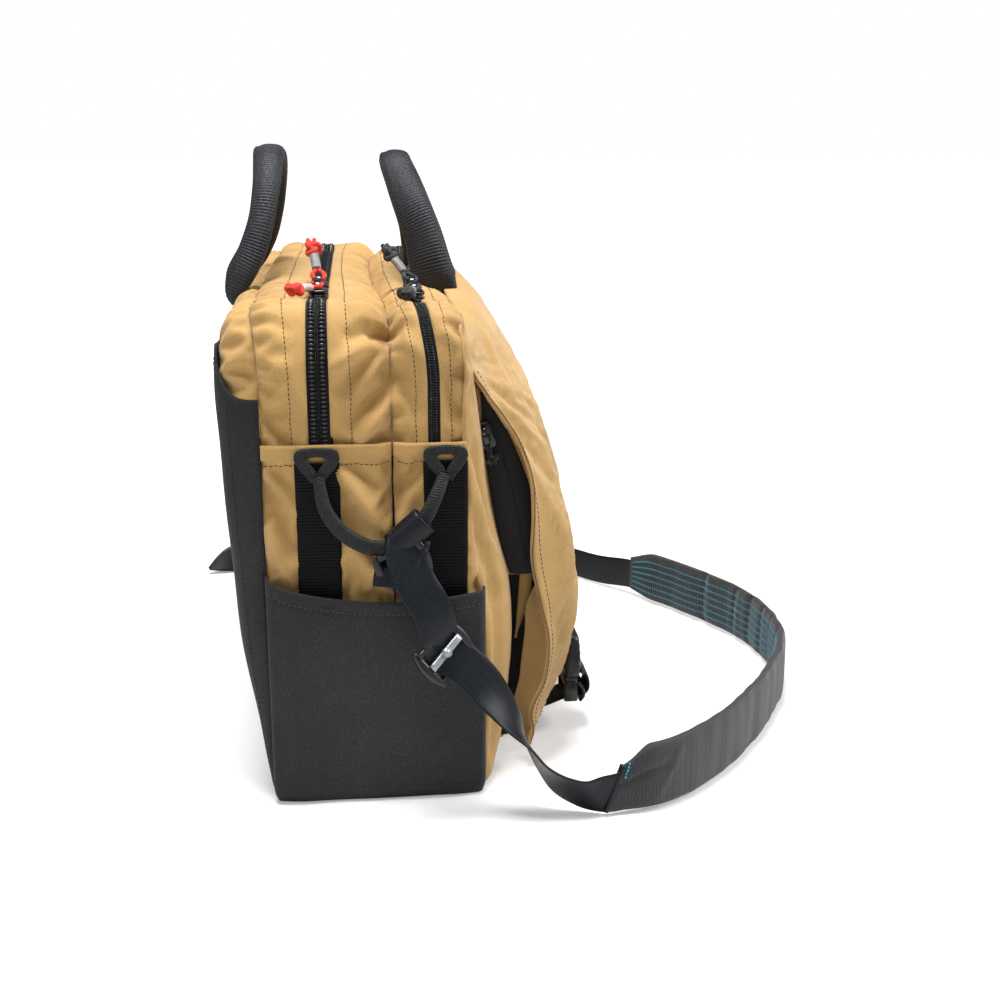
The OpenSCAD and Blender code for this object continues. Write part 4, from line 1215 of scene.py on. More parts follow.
# Lines of y, z down the flap, at distances from its middle
FLAP_LINES = {
    0: [(-49, 293.5), (-58, 294.5), (-66, 293), (-76, 284), (-90, 262), (-111, 224), (-118, 201), (-129, 152),
        (-135, 102), (-134, 68), (-127, 52)],
    95: [(-49, 293.5), (-57, 293.5), (-65, 291), (-74, 281), (-87, 258), (-107, 222), (-115, 200),
         (-126, 152),
         (-130.5, 102), (-127, 68), (-119.5, 52)],
    120: [(-49, 293), (-57, 293), (-64, 290), (-73, 279), (-86, 256), (-105, 220), (-113, 198), (-122, 152),
          (-125, 104), (-121, 68), (-113, 52)],
    150: [(-51, 289), (-57, 288), (-62, 284), (-71, 272), (-84, 250), (-104, 212), (-113, 188), (-124, 145),
          (-127.5, 106), (-121.5, 62), (-111, 41)],
    171: [(-53, 280), (-57.5, 278), (-61, 272), (-68, 258), (-79, 240), (-97, 208), (-110, 180), (-122, 138),
          (-123.5, 100), (-114, 56), (-102, 29)],
    182: [(-55, 271), (-58, 268), (-61, 262), (-67, 249), (-78, 231), (-92, 203), (-101, 176), (-108, 134),
          (-113, 96), (-106, 52), (-96, 21)],
    190: [(-56.5, 263), (-58, 257), (-65.4, 246), (-78, 228), (-88.3, 209), (-94.4, 190), (-95.6, 168),
          (-94.8, 140), (-99.9, 113), (-104.3, 95), (-103.5, 62), (-94.4, 35), (-96, 27), (-93.6, 16)],
}


def even_line(keys, count):
    line = path([[0, *key] for key in keys], 0.5)
    run = run_length(line)
    spots = np.linspace(0, run[-1], count)
    return np.stack([np.interp(spots, run, line[:, 1]), np.interp(spots, run, line[:, 2])], axis=1)


def flap_facing(label, edge):
    """Edge of the flap's inner layer, which curls in below the pocket's zipper."""
    side = np.sign(edge[0, 0])
    low = edge[edge[:, 2] < 120]
    z = low[:, 2]
    wide = curve(z, [(10, 0.5), (20, 5), (40, 10), (66, 15), (90, 13), (108, 8), (120, 0.5)])
    t = np.linspace(0, 1, 9)[None, :]
    x = low[:, :1] - side * (0.6 + 9 * np.sin(t * math.pi / 2))
    y = low[:, 1:2] + 0.8 + wide[:, None] * t
    grid = np.stack([x, y, low[:, 2:] + 0 * t], axis=-1)
    # The facing wears the darkened tan: painted shade.
    piece = sheet(f"flap_{label}_facing", grid, painted_shade_tan, np.array([side, 0, 0]), 1.0)
    fit(piece, "flap", "tan_canvas")


def flap():
    """Flap over the front: a hemmed sheet hung from the top seam."""
    rows, cols = 140, 204
    lines = np.array([even_line(keys, rows) for keys in FLAP_LINES.values()])
    x = np.linspace(-FLAP_END, FLAP_END, cols)
    places = list(FLAP_LINES)
    from_belt = np.abs(x) - BUCKLE_X
    place = BUCKLE_X + from_belt * ramp(np.abs(from_belt), 13, 28)
    y, z = [np.array([curve(place, list(zip(places, lines[:, row, k]))) for row in range(rows)])
            for k in (0, 1)]
    under_belt = (1 - ramp(np.abs(from_belt), 13, 20)) * (1 - ramp(z, 130, 142))
    x = np.broadcast_to(x, y.shape)
    grid = np.stack([x, y, z], axis=-1)
    up = normals(grid, np.array([0, -1.0, 0]))
    away = FLAP_END - np.abs(x)
    shape = 0
    for start, end, width, depth in (
            ((3, 256), (60, 226), 4.5, 2.2), ((3, 252), (50, 204), 4, -2.2), ((4, 250), (40, 184), 4, 2.4),
            ((4, 240), (26, 168), 4, -2.0), ((6, 262), (90, 246), 5, -1.8), ((4, 220), (18, 150), 4, 1.8),
            ((70, 146), (12, 74), 4.5, 2.6), ((80, 118), (20, 44), 4.5, 2.4), ((60, 150), (8, 96), 5, -2.2),
            ((74, 132), (18, 58), 5, -2.0), ((30, 176), (80, 150), 9, -1.6), ((3, 104), (24, 40), 5, -1.6)):
        shape = shape + fold(away, z, start, end, width, depth)
    shape = shape + 0.7 * ripple(x, z, 9, 220, 80, 91) * ramp(away, 0, 30)
    grid = grid + up * (shape * ramp(290 - z, 0, 40) * (1 - under_belt))[..., None]
    hold = np.zeros(y.shape)
    hold[0] = hold[-1] = 1
    hold = np.maximum(hold, 1 - ramp(290 - z, 4, 16))
    hold = np.maximum(hold, 0.97 * (1 - ramp(away, 4, 14)))
    hold = np.maximum(hold, under_belt)
    cloth = settle(grid, 0.008, 0.010, hold, up, reach=2.2, rounds=150, start=0.35, seed=93)
    n = normals(cloth, np.array([0, -1.0, 0]))
    hem = 1 - np.minimum(ramp(away, 4.5, 6.5), ramp(np.arange(rows)[::-1][:, None] + 0 * z, 2.5, 4))
    groove = bump(away, 6.4, 1.0) + bump(away, 3.8, 0.9)
    cloth = cloth + n * (0.8 * hem - 0.6 * groove * hem)[..., None]
    inset, wide_cell, high_cell = 3.8, 1.87, 1.9          # stitch line in from the edge; size of a cell
    c, r = round(inset / wide_cell), rows - 1 - round(inset / high_cell)
    line = np.concatenate([cloth[6:r, c], cloth[r, c:-c - 1], cloth[6:r, -c - 1][::-1]])
    lift = np.concatenate([n[6:r, c], n[r, c:-c - 1], n[6:r, -c - 1][::-1]])
    stitches(line, lift, body="flap")
    for label, column in (("left", 0), ("right", -1)):
        flap_facing(label, cloth[:, column])
        # Close-set brown dashes that run together into one dark line along each side edge.
        stitches(cloth[4:, column], n[4:, column], body="flap", pitch=1.3, long=1.6, wide=0.7)
    piece = sheet("flap_cloth", cloth, tan_cloth, up, 2.4)
    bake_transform(piece)
    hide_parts("flap")


flap()


# ---- webbing and buckles of the closure ----

hook_low, hook_high = span("left_buckle_plug")
house_low, house_high = span("buckle_housings")
BUCKLE_Y = -128.5                        # middle of the closed buckles
flap_rows, closure_rows, housings = [], [], []
for side in (-1, 1):
    at = side * BUCKLE_X
    flap_rows.append(ring_parts(webbing_grid([
        [at, -126.4, 128, 1, 0, 0, WEB, 1.5], [at, -127.6, 104, 1, 0, 0, WEB, 1.5],
        [at, -128.0, 84, 1, 0, 0, WEB, 1.5], [at, -128.6, house_high[2] - 3, 1, 0, 0, WEB, 1.5]],
        0.4, 2.0, 0.2, 10, 9)))
    closure_rows.append(ring_parts(webbing_grid([
        [at, -72, 9, 1, 0, 0, WEB, 1.5], [at, -90, 11, 1, 0, 0, WEB, 1.5], [at, -112, 17, 1, 0, 0, WEB, 1.5],
        [at, -125.5, 22, 1, 0, 0, WEB, 1.5], [at, -134, 24.5, 1, 0, 0, WEB, 1.5]], 0.4, 2.0, 0.2, 10, 9)))
    shape = section(13, 1, 1, 5)
    levels = np.linspace(house_low[2], house_high[2], 56)
    body = []
    for z in levels:
        share = (z - house_low[2]) / (house_high[2] - house_low[2])
        wide = 35.5 - 5.5 * ramp(share, 0.45, 1) - 2.2 * (bump(share, 0, 0.05) + bump(share, 1, 0.05))
        deep = 11.6 - 1.4 * ramp(share, 0.3, 1) - 2.4 * (bump(share, 0, 0.05) + bump(share, 1, 0.05))
        grooves = 0.8 * np.abs(np.sin(math.tau * share * 3))
        deep = deep + grooves * ramp(share, 0.12, 0.2) * ramp(1 - share, 0.1, 0.3)
        body.append(np.column_stack([at + shape[:, 0] * wide, BUCKLE_Y - 1.2 + shape[:, 1] * deep,
                                     np.full(len(shape), z)]))
    housings.append(ring_parts(np.array(body)))
    housings.append(block((at - 15, BUCKLE_Y - 9.4, house_low[2] + 1.2),
                          (at + 15, BUCKLE_Y - 6.6, house_low[2] + 4.2), 0.8))

flap_belts = many("flap_webbing_strips", flap_rows, ribbed_web)
fit(flap_belts, "flap", "black_webbing", "flap_webbing")
fit(many("closure_webbing_strips", closure_rows, ribbed_web), "bag", "black_webbing", "closure_straps")
fit(many("buckle_housing_shells", housings, acetal), "flap", "black_hardware", "buckle_housings")


def plug(side, label):
    """Buckle plug: a ladder body, two sprung prongs, a guide, and a curled lift tab under it."""
    at = side * BUCKLE_X
    low = hook_low[2]
    parts = [block((at - 15.4, BUCKLE_Y - 5.2, low + 14.2), (at + 15.4, BUCKLE_Y + 4.2, house_low[2] + 0.4),
                   1.2)]
    for x in (-15.4, 12.4):
        parts.append(block((at + x, BUCKLE_Y - 5.2, low), (at + x + 3, BUCKLE_Y + 4.2, low + 15), 1.0))
    for z in (low, low + 7.4):
        parts.append(block((at - 15, BUCKLE_Y - 4.4, z), (at + 15, BUCKLE_Y + 3.0, z + 2.8), 0.9))
    for x in (-15.4, 11.4):
        parts.append(block((at + x, BUCKLE_Y - 3.6, house_low[2] - 1),
                           (at + x + 4, BUCKLE_Y + 1.6, hook_high[2]), 1.0))
    parts.append(block((at - 2.5, BUCKLE_Y - 3, house_low[2] - 1), (at + 2.5, BUCKLE_Y + 1.2, hook_high[2]),
                       1.0))
    tab = [[at, BUCKLE_Y - 5.5, low + 13, 1, 0, 0, 30, 3.2], [at, BUCKLE_Y - 9, low + 8, 1, 0, 0, 29, 3],
           [at, BUCKLE_Y - 9.6, low + 3, 1, 0, 0, 27, 2.6], [at, BUCKLE_Y - 7.4, low - 1.4, 1, 0, 0, 24, 2.2]]
    parts.append(ring_parts(webbing_grid(tab, 0.8, power=5, count=11)))
    fit(many(f"{label}_buckle_hook", parts, acetal), f"{label}_buckle", "black_hardware",
        f"{label}_buckle_plug")
    loop = [[at, BUCKLE_Y - 1, low + 4.8, 1, 0, 0, WEB, 1.5],
            [at, BUCKLE_Y - 7, low + 3.4, 1, 0, 0, WEB, 1.5],
            [at, BUCKLE_Y - 12, low + 6, 1, 0, 0, WEB, 1.5], [at, BUCKLE_Y - 13, low + 12, 1, 0, 0, WEB, 1.5],
            [at, BUCKLE_Y - 11, low + 18, 1, 0, 0, WEB, 1.5], [at, BUCKLE_Y - 7, low + 21, 1, 0, 0, WEB, 1.5]]
    fit(rings(f"{label}_buckle_webbing", webbing_grid(loop, 0.5, 2.0, 0.2), ribbed_web), f"{label}_buckle",
        "black_webbing")


plug(-1, "left")
plug(1, "right")


# ---- haul loops, strap anchors and their sliders ----

def loop_line(side):
    x = side * (HALF + 5)
    return [[x, 33, 203], [side * (HALF + 10), 28.5, 183], [side * (HALF + 13), 16, 168.5],
            [side * (HALF + 13.6), 0, 162], [side * (HALF + 13.6), -12, 164],
            [side * (HALF + 13.6), -26.5, 178],
            [side * (HALF + 11), -34.5, 192], [x, -39.5, 203]]


def flat_rows(points, side, wide, thick):
    """Rows for a band that lies flat against the end of the bag."""
    points = np.array(points, float)
    ahead = unit(np.gradient(points, axis=0))
    across = np.cross(ahead, [side, 0, 0])
    wide = np.broadcast_to(wide, len(points))
    return [[*p, *a, w, thick] for p, a, w in zip(points, across, wide)]


def haul_loop(side, label):
    rows = flat_rows(loop_line(side), side, [6.6, 8.2, 9.0, 9.2, 9.2, 8.8, 7.8, 6.6], 5.4)
    parts = [ring_parts(webbing_grid(rows, 0.3, 1.55, 0.5, 2.6, 13, 0.25))]
    x = side * (HALF + 4)
    for y in STRIPS:
        top = END_TOP - 5.5
        for arm in (-1, 1):
            points = [[x, y + arm * 4, top + 1.6], [x, y + arm * 9.4, top - 0.6],
                      [x + side * 0.5, y + arm * 7.8, top - 5],
                      [x + side * 1.0, y + arm * 3.6, top - 10.5], [x + side * 0.8, y + arm * 1.4, top - 15]]
            arms = flat_rows(points, side, [5.5, 7.2, 7.0, 6.4, 5.2], 2.6)
            parts.append(ring_parts(webbing_grid(arms, 0.3, 1.55, 0.45, 4, 11)))
        bar = [[x - side * 0.3, y - 8, top + 1.2], [x, y, top + 1.8], [x - side * 0.3, y + 8, top + 1.2]]
        parts.append(ring_parts(webbing_grid(flat_rows(bar, side, 5.4, 2.8), 0.3, 1.55, 0.4, 4, 9)))
    fit(many(f"{label}_haul_webbing", parts, loop_web), "bag", "black_webbing", f"{label}_haul_loop")


def rail(centre, along, away, long, bulge, thick):
    """Side of a ladder slider: a bar along it that bulges away from the frame in an arc."""
    t = np.linspace(-1, 1, 17)
    swell = 1 - t ** 2
    rows = [[*(np.array(centre) + unit(along) * share * long / 2 + np.array(away) * bulge * w / 2), *away,
             2.0 + bulge * w, thick * (0.55 + 0.45 * w)] for share, w in zip(t, swell)]
    return ring_parts(webbing_grid(rows, 0.8, power=4, count=9))


def anchor(side, label):
    """Satin webbing wrapped round the haul loop, and its moulded slider."""
    centre = np.array([side * (HALF + 13.8), -18.5, 170.5])
    along = unit([0, -0.75, 0.66])
    down = unit([0, -0.66, -0.75])
    out = np.array([side, 0, 0])
    rows = []
    for angle in np.radians(np.arange(-200, 176, 15)):
        p = centre - 8.2 * math.cos(angle) * down + 6.2 * math.sin(angle) * out
        rows.append([*p, *along, 24.5, 1.4])
    wrap = rings(f"{label}_anchor_wrap", webbing_grid(rows, 1.0, power=9, count=11), strap_web)
    fit(wrap, "bag", "black_webbing", f"{label}_strap_anchor")
    tail = [[side * (HALF + 10), -20, 166, 0, -0.75, 0.66, 23, 1.6],
            [side * (HALF + 14), -15.5, 158, 0, -0.8, 0.6, 24, 1.8],
            [side * (HALF + 19), -10, 148, 0, -0.86, 0.5, 25, 1.8],
            [side * (HALF + 21), -9, 140, 0, -0.86, 0.5, 25, 1.8]]
    fit(rings(f"{label}_anchor_tail", webbing_grid(tail, 1.0), strap_web), "bag", "black_webbing")
    frame_at = np.array([side * (HALF + 16.5), -14.2, 153.5])
    bar = unit([0, -0.89, 0.455])
    run = unit([0, -0.455, -0.89])
    parts = []
    for end in (-1, 1):
        parts.append(rail(frame_at + end * 12.2 * bar, run, end * bar, 24, 3.4, 5))
    for place in (-8, 0, 8):
        a = frame_at + place * run - 12.2 * bar
        b = frame_at + place * run + 12.2 * bar
        parts.append(ring_parts(tube_grid([a, (a + b) / 2, b], 1.5, 2, 10, 1.0, (1, 0, 0))))
    fit(many(f"{label}_anchor_frame", parts, acetal), "bag", "black_hardware", f"{label}_anchor_slider")


for side, label in ((-1, "left"), (1, "right")):
    haul_loop(side, label)
    anchor(side, label)


# ---- shoulder strap ----

PIVOT = np.array([0, -8.0, 137.0])
RUN = unit([0, -0.652, -0.758])
RUN_SIDE = np.array([0, 0.758, -0.652])
STRAP_X = middle("left_adjuster")[0] * -1
ADJUST_AT = 45.0                         # distance of the adjuster down the strap
PAD_TALL = 41.0                          # width of the shoulder pad
PAD_LINE = [[-257, -133, 22.5], [-250, -165, 22.5], [-222, -203, 22.5], [-180, -238, 22.5],
            [-130, -269, 22.5],
            [-85, -289, 22.5], [-35, -296, 22.5], [15, -289, 22.5], [62, -269, 22.5], [100, -247, 22.5],
            [134, -223, 22.5]]


def strap(side, label, ending):
    out, lean = side * HALF, side * 0.5
    places = ((15, -18.5, 169, 0.8, -0.5), (21, -16.5, 160, 0.8, -0.5), (27, -21.6, 144.5, 0.8, -0.4),
              (29, -29.4, 130.4, 0.78, -0.42),
              (29.5, -34, 116, 0.76, -0.46), (28.6, -36, 104, 0.66, -0.55), (28.4, -42.5, 99, 0.62, -0.6),
              (28.6, -50, 93, 0.62, -0.5), (29.4, -63, 78, 0.69, -0.21))
    start = [[out + side * x, y, z, lean, sy, sz, WEB, 1.6] for x, y, z, sy, sz in places]
    piece = rings(f"{label}_strap_band", webbing_grid(start + ending, 1.4, power=9, count=13), strap_web)
    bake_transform(piece)
    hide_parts(f"{label}_strap_webbing")


strap(-1, "left", [[-247, -76, 60, -0.85, 0.51, 0.05, WEB, 1.6],
                   [-250, -86, 43.5, -0.89, 0.1, 0.43, WEB, 1.6],
                   [-252, -95, 29.5, -0.81, -0.02, 0.57, WEB, 1.6],
                   [-254.5, -106, 19, -0.65, -0.18, 0.73, WEB, 1.6],
                   [-256.5, -120, 13.6, -0.4, 0.05, 0.91, WEB, 1.6],
                   [-257, -132, 13.6, -0.08, 0, 1, WEB, 1.6],
                   [-255.6, -146, 15, 0, 0, 1, WEB, 1.6]])
strap(1, "right", [[246, -84, 46, 0, 0.6, -0.8, WEB, 1.6], [250, -108, 24, 0, 0.25, -0.97, WEB, 1.6],
                   [236, -140, 14.2, 0, 0, -1, WEB, 1.6], [200, -172, 14.2, 0, 0, -1, WEB, 1.6],
                   [162, -201, 15, 0, 0, -1, WEB, 1.6], [136, -221.5, 19, 0, 0, -1, WEB, 1.6],
                   [126, -228, 20, 0, 0, -1, WEB, 1.6]])

tail_keys = [[STRAP_X, 14, 128, 0, 1, 0, WEB, 1.6], [246, 34, 90, 0.3, 0.9, 0.4, WEB, 1.6],
             [248, 62, 46, 0.8, 0.5, 0.4, WEB, 1.6], [247, 88, 14, 1, 0.1, 0, WEB, 1.6],
             [244, 108, 9, 0.7, 0.2, 0.6, WEB, 1.6], [239, 126, 11, 0.5, 0.2, 0.85, WEB, 1.6],
             [234, 139, 8, 0.5, 0.2, 0.85, 15, 1.6], [231, 149, 4.5, 0.5, 0.2, 0.85, 3, 1.6]]
fit(rings("right_strap_tail_band", webbing_grid(tail_keys, 1.4, power=9, count=11), strap_web), "bag",
    "black_webbing", "right_strap_tail")


def adjuster(side, label):
    """Ladder slider: two rounded rails, end bars, and a pale metal bar with a round boss."""
    centre = PIVOT + ADJUST_AT * RUN + 1.2 * RUN_SIDE + np.array([side * (STRAP_X + 2), 0, 0])
    across = unit(0.84 * RUN_SIDE + np.array([0.54 * side, 0, 0]))
    out = np.cross(RUN, across)
    out = out * np.sign(out[0] * side)
    parts = [rail(centre + end * (WEB / 2 + 0.8) * across + 0.4 * out, RUN, end * across, 27, 3.8, 6.0)
             for end in (-1, 1)]
    for place, lift in ((-10.5, 2.2), (10.5, -2.6)):
        a = centre + place * RUN + lift * out - (WEB / 2 + 1) * across
        b = centre + place * RUN + lift * out + (WEB / 2 + 1) * across
        parts.append(ring_parts(tube_grid([a, (a + b) / 2, b], 1.7, 2, 10, 1.0, (1, 0, 0))))
    fit(many(f"{label}_adjuster_frame", parts, acetal), f"{label}_adjuster", "black_hardware",
        f"{label}_adjuster")
    spot = centre + 3.2 * out
    bar = [[*(spot + end * (WEB / 2 + 0.4) * across), *RUN, 4.4, 2.4] for end in (-1, 0, 1)]
    boss = tube_grid([spot, spot + 1.2 * out, spot + 2.4 * out], 2.9, 0.4, 20, 1.0, (0, 1, 0))
    fit(many(f"{label}_adjuster_bar", [ring_parts(webbing_grid(bar, 2, power=6)), ring_parts(boss)], steel),
        f"{label}_adjuster", "slider_metal")


adjuster(-1, "left")
adjuster(1, "right")


def pad_rows(step):
    """Places along the pad with their side, inward and forward directions."""
    rows = path(PAD_LINE, step)
    ahead = unit(np.gradient(rows, axis=0))
    inward = unit(np.stack([-ahead[:, 1], ahead[:, 0], 0 * ahead[:, 0]], axis=1))
    return rows, ahead, inward


def pad_shape(run, total):
    """Width, thickness and drop of the middle along the pad; both ends gather in to the strap."""
    end = np.minimum(run, total - run)
    full = ramp(end, -8, 28)
    drop = (PAD_TALL - 27) / 2 * (1 - full) * np.where(run < total / 2, 1, 0.35)
    return 27 + (PAD_TALL - 27) * full, 3.4 + 4.4 * ramp(end, 0, 26), drop


def pad():
    rows, ahead, inward = pad_rows(0.42)
    run = run_length(rows)
    total = run[-1]
    tall, thick, drop = pad_shape(run, total)
    shape = section(31, 1, 1, 3.4)
    x, y = shape[None, :, 0], shape[None, :, 1]
    along = run[:, None]
    end = np.minimum(run, total - run)[:, None]
    slant = 11 * (x + 0.25) * (1 - ramp(along, 0, 34))
    curl = along + 13 * x ** 2 + 3 * np.sin(5 * x)
    ribs = 0.62 * np.abs(np.sin(math.pi * curl / 2.2)) * (1 - ramp(end, 22, 40 - 10 * x)) * ramp(end, 1, 4)
    waves = 0.5 * ripple(along + 0 * x, 8 * x + 0 * along, 8, 60, 16, 101) * ramp(end, 24, 60)
    gathers = 0.9 * fold(along + 0 * x, 40 * x + 0 * along, (4, 2), (40, 6), 2.4, -1.6)
    gathers = gathers + fold(along + 0 * x, 40 * x + 0 * along, (30, -12), (46, 14), 3, 0.9)
    wrinkle = sum(bump(along + 3 * x, at, 3.4) for at in (262, 285, 306, 330, 352, 392)) * (y > 0) * -1.5
    deep = y * (thick[:, None] + 2 * ribs) + (waves + wrinkle) * (np.abs(y) > 0.2) - gathers * (y < -0.2)
    high = x * tall[:, None] - drop[:, None]
    grid = (rows[:, None, :] + ahead[:, None, :] * slant[..., None] + np.array([0, 0, 1.0]) * high[..., None]
            + inward[:, None, :] * deep[..., None])
    fit(rings("pad_cover_cloth", grid, pad_cloth), "shoulder_strap", "pad_fabric", "pad_cover", "pad_core")
    beads = []
    first, last = 90, len(rows) - 8
    for row in range(6):
        level = (row - 2.5) * 5.6
        column = int(np.argmin(np.abs(shape[:, 0] * PAD_TALL - level) + 10 * (shape[:, 1] < 0)))
        line = grid[first:last, column].copy()
        line[:, 2] = rows[first:last, 2] + level * tall[first:last] / PAD_TALL - drop[first:last]
        at, forward, lift = along_line(line, inward[first:last], 2.7)
        beads.append(copies(pill((1.7, 1.8, 1.3), 8, 3), at + 0.25 * lift, forward, lift))
    fit(many("pad_grip_beads", beads, teal), "shoulder_strap", "grip_teal", "pad_grip")
    outer = slice(31, 43)
    stitches(grid[12, outer], -inward[12] + 0 * grid[12, outer], body="shoulder_strap", thread="teal",
             pitch=2.2, long=1.7, wide=1.0)
    binding = [[*(grid[2, column] * 0.5 + grid[2, other] * 0.5), *ahead[2], 2.6, thick[2] + 1.2]
               for column, other in ((2, 58), (8, 52), (15, 45), (22, 38), (28, 32))]
    fit(rings("pad_end_binding", webbing_grid(binding, 1.0, 2.0, 0.2, 5), strap_web), "shoulder_strap",
        "black_webbing")


pad()


# ---- zipper sliders and cord pulls ----

PIN = 3.4                                # height of a pull's pin above its zipper


def pulled(points, at, turn, lift):
    """Points of a pull, lying along +X from its pin, put in place on its slider."""
    turn, lift = math.radians(turn), math.radians(lift)
    points = np.asarray(points, float)
    x = points[..., 0] * math.cos(lift) - points[..., 2] * math.sin(lift)
    z = points[..., 0] * math.sin(lift) + points[..., 2] * math.cos(lift)
    y = points[..., 1]
    return np.stack([x * math.cos(turn) - y * math.sin(turn), x * math.sin(turn) + y * math.cos(turn), z],
                    axis=-1) + np.array(at)


def slider(at, place=lambda p: p):
    """Zipper slider: two waisted plates and the bridge that holds the pull."""
    parts = []
    for z, high in ((1.0, 2.8), (-3.0, 2.0)):
        points, faces = pill((18, 12.6, high), 20, 7, 0.5)
        waist = 1 - 0.16 * bump(points[:, :1], 2, 3)
        points = points * np.concatenate([np.ones_like(waist), waist, np.ones_like(waist)], axis=1)
        parts.append((place(points + [0, 0, z]) + at, faces, None))
    arch_line = [[-5.6, 0, 1.6], [-5.0, 0, 4.6], [-2, 0, 6.6], [2, 0, 6.6], [5.0, 0, 4.6], [5.6, 0, 1.6]]
    bridge = webbing_grid([[*p, 0, 1, 0, 4.0, 1.8] for p in arch_line], 0.5, power=4)
    points, faces, uv = ring_parts(bridge)
    parts.append((place(points) + at, faces, uv))
    return parts


def knot(radius, cord, flat, count=110):
    """Overhand knot drawn tight, as a tube on a trefoil line."""
    t = np.linspace(0, math.tau, count)
    line = np.stack([np.sin(t) + 2 * np.sin(2 * t), np.cos(t) - 2 * np.cos(2 * t),
                     -1.5 * flat * np.sin(3 * t)], axis=1)
    return ring_parts(tube_grid(line[:-1] * radius / 3, cord, 0.5, 10, 1.0))


def pull_parts(cord):
    """Cord of a pull in its own frame: loop through the slider, two strands and a knot."""
    loop = [[8, -1.2, 0], [4.4, -3.7, 0.6], [1, -3.2, 1.6], [-0.6, 0, 2.0], [1, 3.2, 1.6], [4.4, 3.7, 0.6],
            [8, 1.2, 0]]
    parts = [ring_parts(tube_grid(loop, cord, 0.5, 10))]
    for y in (-1.2, 1.2):
        parts.append(ring_parts(tube_grid([[7, y, 0], [15, y, 0.3], [24, y * 0.5, 0]], cord * 0.85, 0.6, 10)))
    points, faces, uv = knot(4.4, cord * 1.35, 0.95)
    parts.append((points + [26, 0, 0], faces, uv))
    for y in (-1.4, 1.6):
        parts.append(ring_parts(tube_grid([[28, y * 0.5, 0.6], [31, y, 1.2], [33, y * 1.5, 0.8]],
                                          cord * 0.95, 0.5, 10)))
    return parts


def put_pull(label, at, turn, lift, cord_stuff, slot, tube_stuff, tube_node):
    parts = [(pulled(p, at, turn, lift), f, uv) for p, f, uv in pull_parts(1.45)]
    fit(many(f"{label}_cord", parts, cord_stuff), label, slot, label)
    tube = tube_grid([[9.5, 0, 0], [15, 0, 0.3], [21.5, 0, 0]], 3.1, 0.8, 14, 0.82)
    piece = rings(f"{tube_node}_sleeve", pulled(tube, at, turn, lift), tube_stuff)
    fit(piece, label, "grey_tube", tube_node)


zips = (("main_slider_near", "main_pull_near", "main_tube_near", 150, 2, red_cord, "red_cord", clear_tube),
        ("main_slider_far", "main_pull_far", "main_tube_far", 12, 44, red_cord, "red_cord", grey_tube),
        ("front_slider_near", "front_pull_near", "front_tube_near", 168, 0, black_cord, "black_cord",
         grey_tube),
        ("front_slider_far", "front_pull_far", "front_tube_far", 42, 40, black_cord, "black_cord", grey_tube))
for body, pull, tube, turn, lift, stuff, slot, tube_stuff in zips:
    at = middle(body)
    at[2] = span(body)[1][2] - 6.3
    fit(many(f"{body}_body", slider(at), gloss), body, "black_hardware", body)
    put_pull(pull, at + [0, 0, PIN], turn, lift, stuff, slot, tube_stuff, tube)


def on_pocket(points):
    """From the pocket zipper's frame (x up the zipper, z outward) to the bag's axes."""
    points = np.asarray(points, float)
    x, y, z = points[..., 0], points[..., 1], points[..., 2]
    up, out = unit([0, 0.276, 0.961]), np.array([-1.0, 0, 0])
    across = np.cross(out, up)
    return x[..., None] * up + y[..., None] * across + z[..., None] * out


pocket_at = middle("pocket_slider") * [0, 1, 1] + [-(POCKET_END + 1.6), 0, 0]
fit(many("pocket_slider_body", slider(pocket_at, on_pocket), gloss), "pocket_slider", "black_hardware",
    "pocket_slider")
hanging = [(on_pocket(p * [-0.55, 0.8, 1]) + pocket_at + [-PIN, 0, 0], [f[::-1] for f in faces], None)
           for p, faces, uv in pull_parts(1.2)]
fit(many("pocket_pull_cord", hanging, black_cord), "pocket_pull", "black_cord", "pocket_pull")


# ---- inner pieces that stay as the frame drew them ----

foam_y = SEAM + 1.5
cushion = [[x, foam_y, 130, 0, 0, 1, 180, 4.5] for x in (-185, -60, 60, 185)]
fit(rings("back_foam_cushion", webbing_grid(cushion, 12, power=5, count=15), foam), "bag", "foam",
    "back_foam")
INNER = {"base_board": (board, "stiffener"), "laptop_sleeve": (lining, "lining")}
for node, (stuff, slot) in INNER.items():
    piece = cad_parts[node]
    piece.data.materials.clear()
    piece.data.materials.append(stuff)
    edge = piece.modifiers.new("soft edge", "BEVEL")
    edge.width = 0.8 * MM
    edge.segments = 2


# ---- studio ----

AMBIENT = 0.20                           # light of the white room on the bag


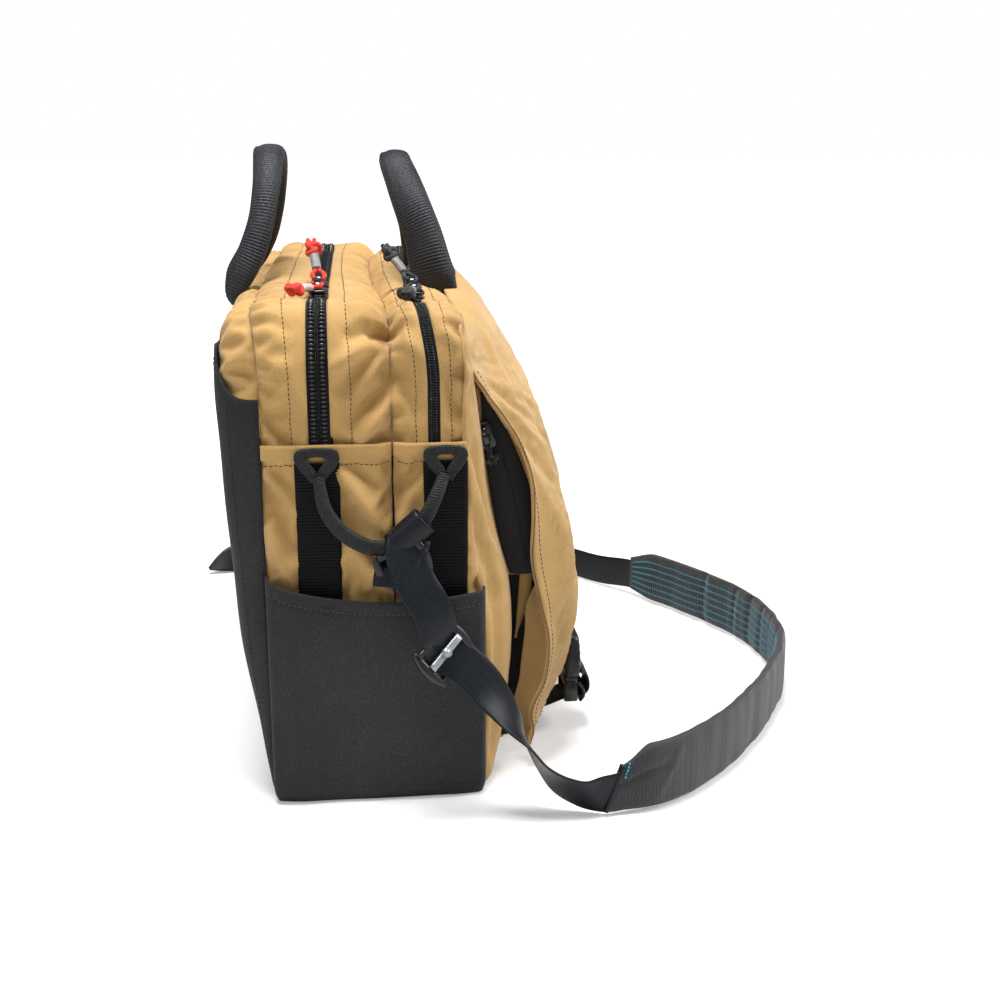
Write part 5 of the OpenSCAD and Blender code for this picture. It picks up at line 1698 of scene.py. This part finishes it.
def studio():
    """White room: a floor that stays white to the camera, soft lights, and a camera at the near end."""
    bpy.ops.mesh.primitive_plane_add(size=30, location=(0, 0, -0.0005))
    floor = bpy.context.object
    floor.name = "floor"
    p = Paint("pale_floor")
    reach = p.node("VectorMath", {"operation": "LENGTH"}, **{"0": p.node("TexCoord").outputs["Object"]})
    fade = p.node("MapRange", Value=reach.outputs["Value"], From_Min=0.42, From_Max=1.2, To_Min=0.26,
                  To_Max=1.0)
    glow = p.sum("MULTIPLY", p.node("LightPath").outputs["Is Camera Ray"], fade)
    p.put(p.shader, "Emission Color", (1, 1, 1, 1))
    p.put(p.shader, "Emission Strength", glow)
    floor.data.materials.append(p.finish((0.8, 0.8, 0.8, 1), 0.95, 0.0, 0.0))
    world = bpy.data.worlds.new("room")
    world.use_nodes = True
    back = world.node_tree.nodes["Background"]
    seen = world.node_tree.nodes.new("ShaderNodeLightPath").outputs["Is Camera Ray"]
    level = world.node_tree.nodes.new("ShaderNodeMath")
    level.operation = "MULTIPLY_ADD"
    level.inputs[1].default_value = 1 - AMBIENT
    level.inputs[2].default_value = AMBIENT
    world.node_tree.links.new(seen, level.inputs[0])
    world.node_tree.links.new(level.outputs[0], back.inputs["Strength"])
    back.inputs["Color"].default_value = (1, 1, 1, 1)
    scene = bpy.context.scene
    scene.world = world
    scene.view_settings.view_transform = "Standard"
    lamps = (("top", (-0.25, 0.1, 2.0), 0.7, 52), ("right", (-0.2, -2.0, 1.4), 0.8, 33),
             ("back", (-1.2, 2.0, 1.1), 0.7, 8), ("near", (-2.4, 0.2, 1.2), 0.7, 4))
    for name, place, size, power in lamps:
        data = bpy.data.lights.new(name, "AREA")
        data.size, data.energy = size, power
        lamp = bpy.data.objects.new(name, data)
        lamp.location = place
        target = np.array([0, 0, 0.12])
        lamp.rotation_mode = "QUATERNION"
        lamp.rotation_quaternion = Vector(target - np.array(place)).to_track_quat("-Z", "Y")
        scene.collection.objects.link(lamp)
    data = bpy.data.cameras.new("camera")
    data.lens, data.sensor_width = 50, 36
    camera = bpy.data.objects.new("camera", data)
    scene.collection.objects.link(camera)
    reach = 782.5                        # from the camera to the near end
    camera.location = (-(HALF + reach) * MM, 8 * MM, 401 * MM)
    turn, tilt = math.radians(5.867), math.radians(15.339)
    look = Vector((math.cos(turn) * math.cos(tilt), -math.sin(turn) * math.cos(tilt), -math.sin(tilt)))
    camera.rotation_mode = "QUATERNION"
    camera.rotation_quaternion = look.to_track_quat("-Z", "Y")
    scene.camera = camera


THREADS = {"brown": (brown_thread, "tan_canvas"), "grey": (grey_thread, "charcoal_laminate"),
           "black": (black_thread, "black_webbing"), "teal": (teal_thread, "grip_teal")}
for (body, thread), rows in stitch_rows.items():
    stuff, slot = THREADS[thread]
    fit(many(f"{body}_{thread}_stitches", rows, stuff), body, slot)

studio()
